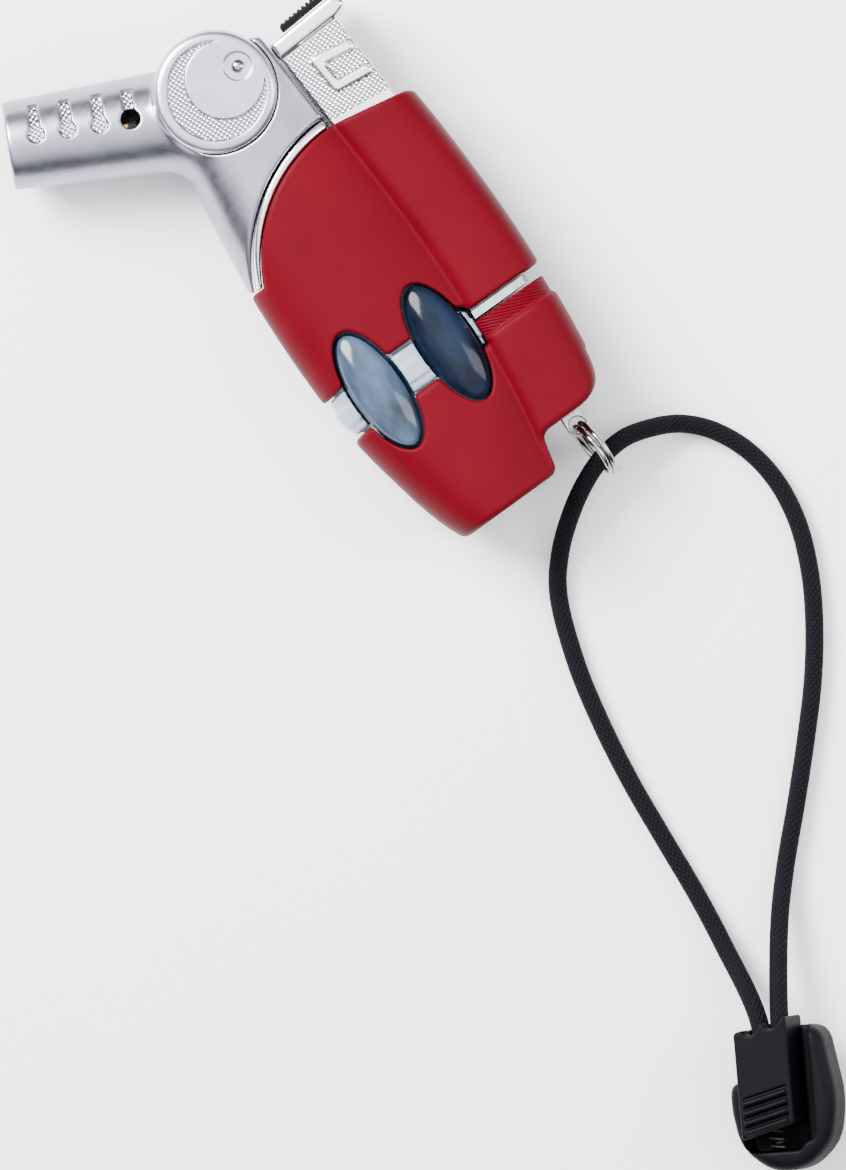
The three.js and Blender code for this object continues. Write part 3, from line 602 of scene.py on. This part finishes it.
def add_upper_shell():
    """The red shell above the seam, open for the button and clear of the gas lever inside."""
    g = Grid((-12.5, 2, 0.5), (27.2, 37.4, 19.5), 0.22)
    form = body_form(g)
    shell = smooth_max(cut_form(g, form, upper_outline(), 0.7), -(form + WALL), 0.3)
    shell = carve(shell, window_wells(g.x, g.y), 0.5)
    shell = carve(shell, button_channel(g), 0.15)
    lever_space = block(g.x, g.y, g.z, (1, 21.5, MID - 5.9), (19.2, 28.2, MID + 5.9), 0.3)
    return g.mesh("shell_upper", carve(shell, lever_space, 0.3), RED)


def along_button(x, y):
    """A point's distance across the button's axis, and along it."""
    cos, sin = np.cos(BUTTON_TILT), np.sin(BUTTON_TILT)
    x, y = x - BUTTON_AXIS[0], y - BUTTON_AXIS[1]
    return x * cos + y * sin, y * cos - x * sin


def button_channel(g):
    """The straight way through the shell that the button slides in."""
    lowest = -6
    across, along = along_button(g.x, g.y)
    sides = slab(across, BUTTON_SIDES[0] - BUTTON_PLAY, BUTTON_SIDES[1] + BUTTON_PLAY)
    walls = smooth_max(sides, np.abs(g.z - MID) - BUTTON_DEPTH - BUTTON_PLAY, 0.3)
    return np.maximum(walls, lowest - along)


def add_lower_shell():
    """The red shell below the seam, with a ribbed strip, two ports in the base and the lug's slot."""
    g = Grid((-11, -25.9, 0.5), (27.2, 1.8, 19.5), 0.2)
    form = body_form(g)
    outside = cut_form(g, form, lower_outline(), 1.1)
    strip = cut_form(g, form, [(14.1, -2.4), (28, -2.4), (28, 1.6), (14.1, 0.9)], 0.3, inset=0.55)
    hollow = [(-14, 6), (-14, -23.6), (11.1, -22.8), (11.8, -18), (13.8, -16.5), (23.2, -16.1), (28, -12),
              (28, 6)]
    shell = carve(smooth_min(outside, strip, 0.15), cut_form(g, form, hollow, 0.4, inset=WALL), 0.3)
    shell = carve(shell, window_wells(g.x, g.y), 0.5)
    for x, radius in ((REFILL_X, 2.9), (ADJUSTER_X, 1.9)):
        port = np.maximum(np.hypot(g.x - x, g.z - MID) - radius, g.y + 22)
        shell = carve(shell, port, 0.3)
    slot = block(g.x, g.y, g.z, (LUG[0] - 2.05, -19.5, MID - 1.1), (LUG[0] + 2.05, -15, MID + 1.1), 0.2)
    return grain_and_shade(g.mesh("shell_lower", carve(shell, slot, 0.3), RED), RIBBED_RED, on_strip)


def on_strip(x, y, z):
    """The ribbed strip beside the seam."""
    return (x > 14.2) & (y > -1.62 + (x - 14.1) * 0.043) & (y < 1.75)


def add_tank():
    """The hollow fuel tank, with the translucent band that shows between the shells."""
    g = Grid((-11.6, -22.2, 0.8), (14, 18.2, 19.3), 0.25)
    form = body_form(g)
    vessel_outline = [(-14, -22), (11, -21.3), (12.2, -15), (12.2, 18), (-14, 18)]
    hollow = [(-14, -20.4), (9.5, -19.8), (10.7, -14.5), (10.7, 16.4), (-14, 16.4)]
    band_outline = [(-14, -4.5), (-7.3, -3.55), (12.8, -2.6), (13.8, -2.6), (13.8, 2.85), (12.8, 3.7),
                    (-7.7, 3), (-14, 1.9)]
    raised_outline = [(-14, -3), (-7.3, -2.2), (14, -1.3), (14, 1.7), (-7.3, 0.8), (-14, 0.2)]
    band = cut_form(g, form, band_outline, 0.8, inset=0.75)
    band = smooth_min(band, cut_form(g, form, raised_outline, 0.6, inset=0.3), 0.2)
    wells = np.maximum(window_wells(g.x, g.y), TANK_WELL - np.abs(g.z - MID))
    tank = smooth_min(cut_form(g, form, vessel_outline, 1, inset=2), carve(band, wells, 0.5), 0.3)
    tank = carve(tank, cut_form(g, form, hollow, 1, inset=3.5), 0.3)
    for x, radius, low, high in TANK_BORES:
        bore = np.maximum(np.hypot(g.x - x, g.z - MID) - radius, slab(g.y, low, high))
        tank = carve(tank, bore, 0.1)
    # The walls of the wells behind the windows take the dark rim material: painted shade.
    return grain_and_shade(g.mesh("tank", tank, TANK), RIM_SHADE, in_shaded_tank_well)


def in_shaded_tank_well(x, y, z):
    """The faces of the wells behind the windows, which are painted dark as shade."""
    return (window_wells(x, y) < 0.1) & (np.abs(z - MID) > TANK_WELL - 0.1)


def add_window(side, name):
    """A domed fuel window of one broad side, with a band round its edge painted dark as shade."""
    centre = WINDOWS[name]
    low, high = (MID, THICKNESS) if side == "front" else (0, MID)
    g = Grid((centre[0] - 5, centre[1] - 10.5, low), (centre[0] + 5, centre[1] + 10.5, high), 0.16)
    unit = np.sqrt(((g.x - centre[0]) / DOME_ACROSS) ** 2 + ((g.y - centre[1]) / DOME_ALONG) ** 2
                   + ((g.z - MID) / MID) ** 2)
    dome = (unit - 1) * MID
    lens = smooth_max(ellipse(g.x, g.y, centre), dome, 1.1)
    lens = smooth_max(lens, -(body_form(g) + LENS_WALL), 0.2)
    lens = smooth_max(lens, slab(g.z, low, high), 0.1)
    made = g.mesh(f"lens_{side}_{name}", lens, LENSES[name])
    return grain_and_shade(made, RIM_SHADE, lambda x, y, z: ellipse(x, y, centre) > -RIM_SHADE_WIDTH)


def add_collar():
    """The bright band between the shell's arc and the head's."""
    g = Grid((-12.6, 22, 0.4), (11.4, 39.2, 19.6), 0.18)
    outer = rod(g.x, g.y, HEAD_ARC, HEAD_ARC[2] - 0.1)
    inner = rod(g.x, g.y, SHELL_ARC, SHELL_ARC[2] + 0.15)
    band = smooth_max(np.maximum(outer, -inner), body_form(g) + 0.05, 0.5)
    span = polygon([(-14, 22.4), (0, 22.4), (11, 30), (11, 40), (-14, 40)], g.x, g.y)
    return g.mesh("collar", smooth_max(band, span, 0.3), BRIGHT)


# ---- head ----


def along_burner(x, y):
    """Distance from the mouth along the burner, and off its axis in the XY plane."""
    dx, dy = x - MOUTH[0], y - MOUTH[1]
    cos, sin = np.cos(BURNER_ANGLE), np.sin(BURNER_ANGLE)
    return dx * cos + dy * sin, dy * cos - dx * sin


def groove(along, across, position):
    """A keyhole: a round bulb with a slot that runs off over the barrel's side."""
    bulb_across, bulb_radius, half_slot, slot_end = 0.9, 1.25, 0.75, 5.4
    bulb = np.hypot(along - position, across - bulb_across) - bulb_radius
    slot = np.maximum(bulb_across - across, across - slot_end)
    slot = np.maximum(np.abs(along - position) - half_slot, slot)
    return smooth_min(bulb, slot, 0.3)


def barrel_radius(along):
    """The burner's outer radius, which grows from its mouth to its root."""
    return BARREL["mouth"] + (BARREL["root"] - BARREL["mouth"]) * along / BARREL["length"]


def groove_depth(across):
    """How deep the grooves are; they run out towards the barrel's side."""
    return GROOVE_DEPTH * np.clip((5.7 - across) / 2, 0, 1)


def add_head():
    """The casting: the burner's barrel, the neck, the hub between the disc caps and the platform."""
    g = Grid((-33.4, 22.2, 0.4), (11.6, 66.9, 19.6), 0.19)
    along, across = along_burner(g.x, g.y)
    radial = np.hypot(across, g.z - MID)
    radius = barrel_radius(along)
    barrel = smooth_max(smooth_max(radial - radius, -along, 0.6), along - BARREL["reach"], 0.5)

    neck_arc = arc(HEAD_ARC[0], HEAD_ARC[1], HEAD_ARC[2] + 0.2, 93.5, 158.5)
    neck_outline = [(-13, 22.5), (-13, 43.5), (-9, 52), (8, 52), (11.4, 38.8)] + neck_arc
    neck = cut_form(g, body_form(g), neck_outline, 0.8)
    cap_floor = MID - CAP_HEIGHT - GAP
    hub = smooth_max(rod(g.x, g.y, DISC, DISC_RADIUS - 0.3), np.abs(g.z - MID) - cap_floor, 0.6)
    head = smooth_min(smooth_min(barrel, neck, 3.2), hub, 1.2)
    platform_outline = [(2, 55), (7.5, 55.2), (9.6, 54.4), (9.9, 54), (11.4, 38.8), (5, 39.6)]
    platform = prism(rounded(platform_outline, 0.9), CAP_HEIGHT - 0.3, THICKNESS - CAP_HEIGHT + 0.3,
                     g.x, g.y, g.z, 0.9)
    head = smooth_min(head, platform, 0.6)

    for position in GROOVES:
        sunk = np.maximum(groove(along, across, position), radius - groove_depth(across) - radial)
        head = carve(head, np.maximum(sunk, 2.0 - np.abs(g.z - MID)), 0.18)
    hole = np.hypot(along - AIR_HOLE["along"], across - AIR_HOLE["across"]) - AIR_HOLE["radius"]
    head = carve(head, np.maximum(hole, np.minimum(MID + 1 - g.z, g.z - MID + 6.6)), 0.25)
    bore = np.maximum(radial - BARREL["bore"], along - BARREL["depth"])
    head = carve(head, bore, 0.5)
    seat = np.maximum(rod(g.x, g.y, DISC, DISC_RADIUS + 0.07), cap_floor - np.abs(g.z - MID))
    return grain_and_shade(g.mesh("head", carve(head, seat, 0.3), CAST), GROOVED, in_groove)


def in_groove(x, y, z):
    """The floors of the keyhole grooves."""
    along, across = along_burner(x, y)
    radial = np.hypot(across, z - MID)
    radius = barrel_radius(along)
    floor = (radial < radius - groove_depth(across) + 0.15) & (radial > radius - 0.75) & (across < 5)
    return floor & (np.minimum.reduce([groove(along, across, position) for position in GROOVES]) < 0.05)


def add_disc(side):
    """A round cap of one broad side, with a crescent recess and a pit for its pin."""
    front = side == "front"
    low, high = (THICKNESS - CAP_HEIGHT, THICKNESS) if front else (0, CAP_HEIGHT)
    g = Grid((DISC[0] - 9.5, DISC[1] - 9.5, low - 0.2), (DISC[0] + 9.5, DISC[1] + 9.5, high + 0.2), 0.1)
    depth = (THICKNESS - g.z) if front else g.z
    disc = smooth_max(rod(g.x, g.y, DISC, DISC_RADIUS), -depth, 1.5)
    disc = smooth_max(disc, depth - CAP_HEIGHT, 0.3)
    disc = carve(disc, np.maximum(moon(g.x, g.y), depth - MOON_DEPTH), 0.25)
    pit = np.maximum(rod(g.x, g.y, PIT, PIT_RADIUS), depth - PIT_DEPTH)
    return grain_and_shade(g.mesh(f"disc_{side}", carve(disc, pit, 0.3), CAP), GROOVED, on_moon_floor)


def moon(x, y):
    """The crescent around the disc cap's middle."""
    return np.maximum(rod(x, y, (0, DISC[1]), 7.45), -rod(x, y, (1.9, DISC[1] + 0.8), 5.95))


def on_moon_floor(x, y, z):
    """The floor of a disc cap's crescent."""
    return (moon(x, y) < 0.02) & (np.abs(np.abs(z - MID) - MID + MOON_DEPTH) < 0.12)


def add_disc_pin(side):
    """The ball that sits in a disc cap's pit."""
    height = THICKNESS - PIN_DEPTH if side == "front" else PIN_DEPTH
    g = Grid((3, 50.5, height - 1.5), (6.4, 54, height + 1.5), 0.07)
    ball = np.sqrt((g.x - PIN[0]) ** 2 + (g.y - PIN[1]) ** 2 + (g.z - height) ** 2) - PIN_RADIUS
    return g.mesh(f"disc_pin_{side}", ball, NICKEL)


# ---- button ----


def tilted(x, y, z):
    """A point drawn along the button's own axis, as a point of the frame."""
    cos, sin = np.cos(BUTTON_TILT), np.sin(BUTTON_TILT)
    return place(BUTTON_AXIS[0] + x * cos - y * sin, BUTTON_AXIS[1] + x * sin + y * cos, MID + z)


def button_rib():
    """The outline of the raised hook on the button's flats."""
    return (curve_corner((-0.9, 11.2), (-1.9, 11.3), (-1.9, 12.3))
            + curve_corner((-2, 16.6), (-2.1, 17.8), (-1, 17.6))
            + curve_corner((4.2, 16.5), (5, 15.6), (4.2, 14.9))
            + curve_corner((0, 15.7), (-0.6, 15.8), (-0.6, 15.2), 5)
            + curve_corner((-0.5, 13.3), (-0.5, 12.7), (0.1, 12.6), 5)
            + curve_corner((4.2, 12), (5, 11.2), (4.2, 10.4)))


def add_button():
    """The igniter button: a hollow stem with a lip at its top, a raised hook and a foot."""
    g = Grid((-5.9, -2.3, -7.3), (8, 24, 7.3), 0.14)
    stem = smooth_max(slab(g.x, *BUTTON_SIDES), np.abs(g.z) - BUTTON_DEPTH, 0.4)
    stem = smooth_max(stem, slab(g.y, 1.5, 21), 0.3)
    lip_outline = [(-5.5, 20.2), (5.7, 20.2), (7.6, 20.9), (7.6, 22.5), (6.5, 23.5), (-5.5, 23.2)]
    lip = prism(rounded(lip_outline, 0.9), -LIP_DEPTH, LIP_DEPTH, g.x, g.y, g.z, 1.3)
    button = smooth_min(stem, lip, 0.4)
    rib = smooth_max(polygon(button_rib(), g.x, g.y), np.abs(g.z) - BUTTON_DEPTH - 0.55, 0.5)
    button = smooth_min(button, np.maximum(rib, 4 - np.abs(g.z)), 0.25)
    button = carve(button, block(g.x, g.y, g.z, (-4.1, -3, -4.8), (4.1, 19.8, 4.8), 0.2), 0.2)
    foot = block(g.x, g.y, g.z, (-1.8, -2, 4.4), (0.2, 3, 5.8), 0.2)
    made = g.mesh("button", np.minimum(button, foot), BRIGHT, tilted)
    return grain_and_shade(made, GRAINED, on_button_panel)


def on_button_panel(x, y, z):
    """The flats of the button, around the smooth raised hook."""
    side, along = along_button(x, y)
    depth = np.abs(z - MID)
    on_flat = (along > 8.4 - (side + 5) * 0.15) & (along < 19.95) & (np.abs(side + 0.1) < 4.9)
    return on_flat & (depth > 5) & (depth < BUTTON_DEPTH + 0.12)


def add_thumb_pad():
    """The ribbed pad on top of the button; its ridges rise a little towards the right."""
    ridges, pitch, width = 9, 0.8, 0.5
    g = Grid((-2.8, 22.8, -5.6), (5.4, 25.1, 5.6), 0.1)
    pad = block(g.x, g.y, g.z, (-2.5, 23, -5.4), (5.1, 24.4, 5.4), 0.3)
    for i in range(ridges):
        left = -2.2 + i * pitch
        ridge = block(g.x, g.y, g.z, (left, 23.6, -5), (left + width, 24.58 + 0.03 * i, 5), 0.2)
        pad = smooth_min(pad, ridge, 0.15)
    return g.mesh("pad", pad, BLACK, tilted)


# ---- lanyard ----


def lock_place(x, y, z):
    """A point drawn in the cord lock's own frame, as a point of the frame."""
    turned = Matrix.Rotation(LOCK_TURN, 3, "Z") @ Matrix.Rotation(LOCK_ROLL, 3, "Y") @ Vector((x, y, z))
    return place(*(turned + Vector(LOCK)))


def add_lug():
    """The flat eye that the split ring hangs in, with a head that is held inside the shell."""
    g = Grid((LUG[0] - 3, -22.4, MID - 1), (LUG[0] + 3, -14.6, MID + 1), 0.08)
    shank = rectangle(LUG[0] - LUG_RADIUS, LUG[1], LUG[0] + LUG_RADIUS, -15)
    eye = np.minimum(rod(g.x, g.y, LUG, LUG_RADIUS), polygon(shank, g.x, g.y))
    head = polygon(rectangle(LUG[0] - LUG_HEAD, -16.05, LUG[0] + LUG_HEAD, LUG_TOP), g.x, g.y)
    lug = smooth_max(np.minimum(eye, head), np.abs(g.z - MID) - 0.8, 0.35)
    return g.mesh("lug", carve(lug, rod(g.x, g.y, LUG, LUG_HOLE), 0.35), NICKEL)


def add_split_ring():
    """Two turns of round wire, with cut ends."""
    data = bpy.data.curves.new("ring", "CURVE")
    data.dimensions = "3D"
    data.resolution_u = 4
    data.bevel_depth = RING_WIRE * MM
    data.bevel_resolution = 6
    data.use_fill_caps = True
    steps = 120
    spline = data.splines.new("POLY")
    spline.points.add(steps)
    centre = Vector((LUG[0] + RING_RADIUS * np.sin(RING_LEAN), LUG[1] - RING_RADIUS * np.cos(RING_LEAN),
                     RING_HEIGHT))
    turn = Matrix.Rotation(np.pi / 2 + RING_LEAN, 3, "Z") @ Matrix.Rotation(RING_ROLL, 3, "X")
    for i in range(steps + 1):
        angle = np.pi + 2 * np.pi * RING_TURNS * i / steps
        along = RING_PITCH * RING_TURNS * (i / steps - 0.5)
        local = Vector((RING_RADIUS * np.cos(angle), along, RING_RADIUS * np.sin(angle)))
        spline.points[i].co = (*place(*(centre + turn @ local)), 1)
    made = bpy.data.objects.new("ring", data)
    bpy.context.collection.objects.link(made)
    data.materials.append(NICKEL)
    return made


# The cord's centreline from the lock, up through the split ring and back.
CORD_ROUTE = [
    (-4.6, -98, 3), (-3.9, -89.3, 1.6), (-3.6, -80, 1.5), (-3.2, -70, 1.5), (-2.2, -60, 1.5),
    (-0.4, -50, 1.5), (2.9, -40, 1.6), (6.3, -35.2, 2.6), (10.4, -31.4, 4.8), (14.8, -28.4, 7),
    (19.3, -26.4, 8.3), (23.5, -25.7, 7.4), (28, -26.6, 5.2), (32, -28.4, 3.2), (35.6, -31.8, 1.9),
    (38.4, -37.1, 1.5), (39.6, -43.4, 1.5), (39, -50.3, 1.5), (36.6, -57.5, 1.5), (33.2, -64.1, 1.5),
    (28.2, -71.6, 1.5), (22.4, -78.7, 1.5), (16.2, -85.8, 1.6), (9.5, -93.2, 2), (4.2, -99.8, 4),
]


def smooth_path(points, per_span=12):
    """A centripetal curve through the points, as the CAD cord's."""
    points = [np.array(point, float) for point in points]
    points = [2 * points[0] - points[1], *points, 2 * points[-1] - points[-2]]
    path = []
    for i in range(1, len(points) - 2):
        p = points[i - 1:i + 3]
        t = [0.0]
        for a, b in zip(p, p[1:]):
            t.append(t[-1] + np.linalg.norm(b - a) ** 0.5)
        for s in np.linspace(t[1], t[2], per_span, endpoint=False):
            a1, a2, a3 = [(t[j + 1] - s) / (t[j + 1] - t[j]) * p[j]
                          + (s - t[j]) / (t[j + 1] - t[j]) * p[j + 1] for j in range(3)]
            b1 = (t[2] - s) / (t[2] - t[0]) * a1 + (s - t[0]) / (t[2] - t[0]) * a2
            b2 = (t[3] - s) / (t[3] - t[1]) * a2 + (s - t[1]) / (t[3] - t[1]) * a3
            path.append((t[2] - s) / (t[2] - t[1]) * b1 + (s - t[1]) / (t[2] - t[1]) * b2)
    return [Vector(point) for point in [*path, points[-2]]]


def add_cord():
    """A mesh tube with its own coordinates in millimetres round and along, for the braid."""
    left_end, left_exit, right_end, right_exit = [lock_place(side * LOCK_CORD_X, y, LOCK_CORD_Z)
                                                  for side in (-1, 1) for y in (CORD_END_Y, CORD_EXIT_Y)]
    path = smooth_path([left_end, left_exit, *(place(*point) for point in CORD_ROUTE), right_exit, right_end])
    sides = 24
    circle = 2 * np.pi * CORD_RADIUS
    work = bmesh.new()
    uv = work.loops.layers.uv.new("braid")
    rings, lengths = [], [0.0]
    normal = Vector((0, 0, 1))
    for i, point in enumerate(path):
        ahead = (path[min(i + 1, len(path) - 1)] - path[max(i - 1, 0)]).normalized()
        normal = (normal - ahead * normal.dot(ahead)).normalized()
        side = ahead.cross(normal)
        rings.append([work.verts.new(point + (normal * np.cos(a) + side * np.sin(a)) * CORD_RADIUS * MM)
                      for a in np.linspace(0, 2 * np.pi, sides, endpoint=False)])
        if i:
            lengths.append(lengths[-1] + (point - path[i - 1]).length / MM)
    for i in range(len(rings) - 1):
        for j in range(sides):
            k = (j + 1) % sides
            face = work.faces.new((rings[i][j], rings[i][k], rings[i + 1][k], rings[i + 1][j]))
            face.smooth = True
            left, right = j / sides * circle, (j + 1) / sides * circle
            corners = rectangle(left, lengths[i], right, lengths[i + 1])
            for loop, corner in zip(face.loops, corners):
                loop[uv].uv = corner
    work.faces.new(rings[0][::-1])
    work.faces.new(rings[-1])
    bmesh.ops.recalc_face_normals(work, faces=work.faces)
    data = bpy.data.meshes.new("cord")
    work.to_mesh(data)
    work.free()
    data.materials.append(CORD)
    made = bpy.data.objects.new("cord", data)
    bpy.context.collection.objects.link(made)
    return made, path, lengths[-1] * MM, left_exit


LOCK_OUTLINE = [(-6.8, 10.3), (-8.6, -0.8), (-7.4, -7.5), (-2.8, -11.4), (2.8, -11.4), (7.4, -7.5),
                (8.6, -0.8), (6.8, 10.3)]


def add_lock_housing():
    """The cord lock's rounded body, open above and behind for the sliding block."""
    g = Grid((-8.8 + HOUSING_X, -11.6, -0.2), (8.8 + HOUSING_X, 10.6, 7.4), 0.14)
    outline = polygon(rounded(LOCK_OUTLINE, 2.6, 8), g.x - HOUSING_X, g.y)
    shell = smooth_max(outline, slab(g.z, 0, 7.2), 2.2)
    tray_outline = rounded(rectangle(-5.2, -8.4, 4.4, 14), 1.4)
    tray = smooth_max(polygon(tray_outline, g.x, g.y), 2.2 - g.z, 0.4)
    shoulder_outline = rounded([(2, -8.2), (6.3, -6.6), (6.3, 14), (2, 14)], 1)
    shoulder = smooth_max(polygon(shoulder_outline, g.x, g.y), 5 - g.z, 0.8)
    low_side = np.maximum(np.maximum(g.x + 4.9, 4.4 - g.z), 2.5 - g.y)
    shell = carve(carve(carve(shell, tray, 0.4), shoulder, 0.7), low_side, 1.6)
    return g.mesh("lock_housing", shell, LOCK_BLACK, lock_place)


def add_lock_slider():
    """The lock's sliding block: four slanted ribs, a channel for the cord and a well for the spring."""
    g = Grid((-4.8, -6.7, 2.3), (4.2, 12.3, 10.2), 0.12)
    slanted = g.y - LOCK_SLANT * g.x
    slider = block(g.x, slanted, g.z, (-4.6, -5.2, 2.5), (4, 11, 9.6), 0.5)
    for y in (-4.75, -3.3, -1.85, -0.4):
        rib = block(g.x, slanted, g.z, (-3.8, y, 9), (3.3, y + 0.75, 10.1), 0.3)
        furrow = block(g.x, slanted, g.z, (-3.8, y + 0.85, 9.3), (3.3, y + 1.3, 10.3), 0.15)
        slider = carve(smooth_min(slider, rib, 0.25), furrow, 0.15)
    channel = np.hypot(np.maximum(np.abs(g.x) - LOCK_CORD_X, 0), g.z - LOCK_CORD_Z) - CORD_RADIUS - GAP
    slider = carve(slider, np.maximum(channel, 0.2 - g.y), 0.4)
    notches = np.hypot(np.abs(g.x) - 1.7, slanted - 11.3) - 1.5
    slider = carve(slider, np.maximum(notches, LOCK_CORD_Z - g.z), 0.3)
    well = np.maximum(np.hypot(g.x, g.z - LOCK_CORD_Z) - 1.9, g.y + 1.3)
    return g.mesh("lock_slider", carve(slider, well, 0.2), LOCK_BLACK, lock_place)


# ---- build, and tie each piece to what it stands for ----


def shows(made, body, slot, *nodes):
    """A piece that stands for CAD nodes, tied to a body while the nodes are hidden; slot is not used."""
    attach(made, body)
    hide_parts(*nodes)


def add_spring(node, body, finish=STEEL):
    """A spring: a copy of the CAD part with its own mesh and finish, tied to a body."""
    made = bpy.data.objects.new(f"{node}_coil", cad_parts[node].data.copy())
    bpy.context.collection.objects.link(made)
    made.data.materials.clear()
    made.data.materials.append(finish)
    shows(made, body, "steel", node)
    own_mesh(made)
    return made


cord, cord_path, cord_length, cord_exit = add_cord()
shows(cord, "lanyard", "cord_black", "wrist_cord")
housing = add_lock_housing()
shows(housing, "lanyard", "lock_black", "cord_lock_housing")
slider = add_lock_slider()
shows(slider, "lock_slider", "lock_black", "cord_lock_slider")
# The lock's spring is made near-black to stand in for the shade in the gap under the slider.
lock_spring = add_spring("cord_lock_spring", "lanyard",
                         SPRING_SHADE_STEEL)

shows(add_head(), "torch", "satin_silver", "head_casting")
for cap in ("front", "back"):
    shows(add_disc(cap), "torch", "satin_silver", f"disc_cap_{cap}")
    shows(add_disc_pin(cap), "torch", "nickel", f"cap_pin_{cap}")
    for window in WINDOWS:
        shows(add_window(cap, window), "torch", "window_plastic", f"window_{cap}_{window}")
shows(add_collar(), "torch", "bright_silver", "neck_collar")
shows(add_upper_shell(), "torch", "red_shell", "upper_shell")
shows(add_lower_shell(), "torch", "red_shell", "lower_shell")
shows(add_tank(), "torch", "tank_plastic", "fuel_tank")
shows(add_button(), "button", "bright_silver", "igniter_button")
shows(add_thumb_pad(), "button", "black_plastic", "thumb_pad")
shows(add_lug(), "torch", "nickel", "eyelet_lug")
shows(add_split_ring(), "lanyard", "nickel", "split_ring")

add_spring("button_spring", "torch")
add_spring("valve_spring", "torch")
add_spring("refill_spring", "torch")

CARRIED = [
    (STEEL, ["flame_guard", "electrode", "chassis", "gas_lever", "lever_pin"]),
    (BRASS, ["mixing_tube", "jet_nozzle", "valve_body", "valve_stem", "refill_valve_body", "refill_stem",
             "flame_adjuster"]),
    (CERAMIC, ["burner_mesh", "electrode_insulator"]),
    (RUBBER, ["valve_o_ring", "refill_o_ring"]),
    (BLACK, ["piezo_body", "piezo_plunger"]),
    (HOSE, ["gas_hose"]),
    (WIRE, ["ignition_wire"]),
]
for finish, nodes in CARRIED:
    for node in nodes:
        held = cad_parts[node]
        held.data.materials.clear()
        held.data.materials.append(finish)

# ---- floor and light ----


def add_floor():
    """A pale table just under the object."""
    half, drop = 1.2, 0.00005
    corners = [(x, y, 0) for x, y in rectangle(-half, -half, half, half)]
    data = bpy.data.meshes.new("floor")
    data.from_pydata(corners, [], [(0, 1, 2, 3)])
    floor = bpy.data.objects.new("floor", data)
    floor.location = (0, 0, -drop)
    bpy.context.collection.objects.link(floor)
    made, tree, shader = new_material("floor", (0.92, 0.92, 0.93), 0.6)
    clouds = ramp(tree, noise(tree, 8, 3), (0.9, 0.9, 0.91), (0.94, 0.94, 0.95))
    tree.links.new(clouds, shader.inputs["Base Color"])
    data.materials.append(made)


def add_light(name, position, size, power):
    """A rectangular light, in metres and watts, aimed at the object."""
    aim = Vector((0, 0, 0.01))
    data = bpy.data.lights.new(name, "AREA")
    data.shape = "RECTANGLE"
    data.size, data.size_y = size
    data.energy = power
    light = bpy.data.objects.new(name, data)
    light.location = position
    light.rotation_euler = (aim - Vector(position)).to_track_quat("-Z", "Y").to_euler()
    bpy.context.collection.objects.link(light)


def add_world():
    """A soft dome: bright overhead and dim towards the horizon."""
    horizon, zenith, strength = (0.03, 0.03, 0.037), (1.0, 1.01, 1.04), 3.4
    world = bpy.data.worlds.new("studio")
    world.use_nodes = True
    tree = world.node_tree
    coords = tree.nodes.new("ShaderNodeTexCoord")
    split = tree.nodes.new("ShaderNodeSeparateXYZ")
    tree.links.new(coords.outputs["Generated"], split.inputs["Vector"])
    sky = ramp(tree, split.outputs["Z"], horizon, zenith, 0.5, 0.99)
    tree.links.new(sky, tree.nodes["Background"].inputs["Color"])
    tree.nodes["Background"].inputs["Strength"].default_value = strength
    bpy.context.scene.world = world


add_floor()
add_world()
add_light("key", position=(-0.22, 0.5, 0.55), size=(0.4, 0.4), power=26)
add_light("fill", position=(0.5, -0.25, 0.4), size=(0.25, 0.5), power=4)

bpy.context.view_layer.update()
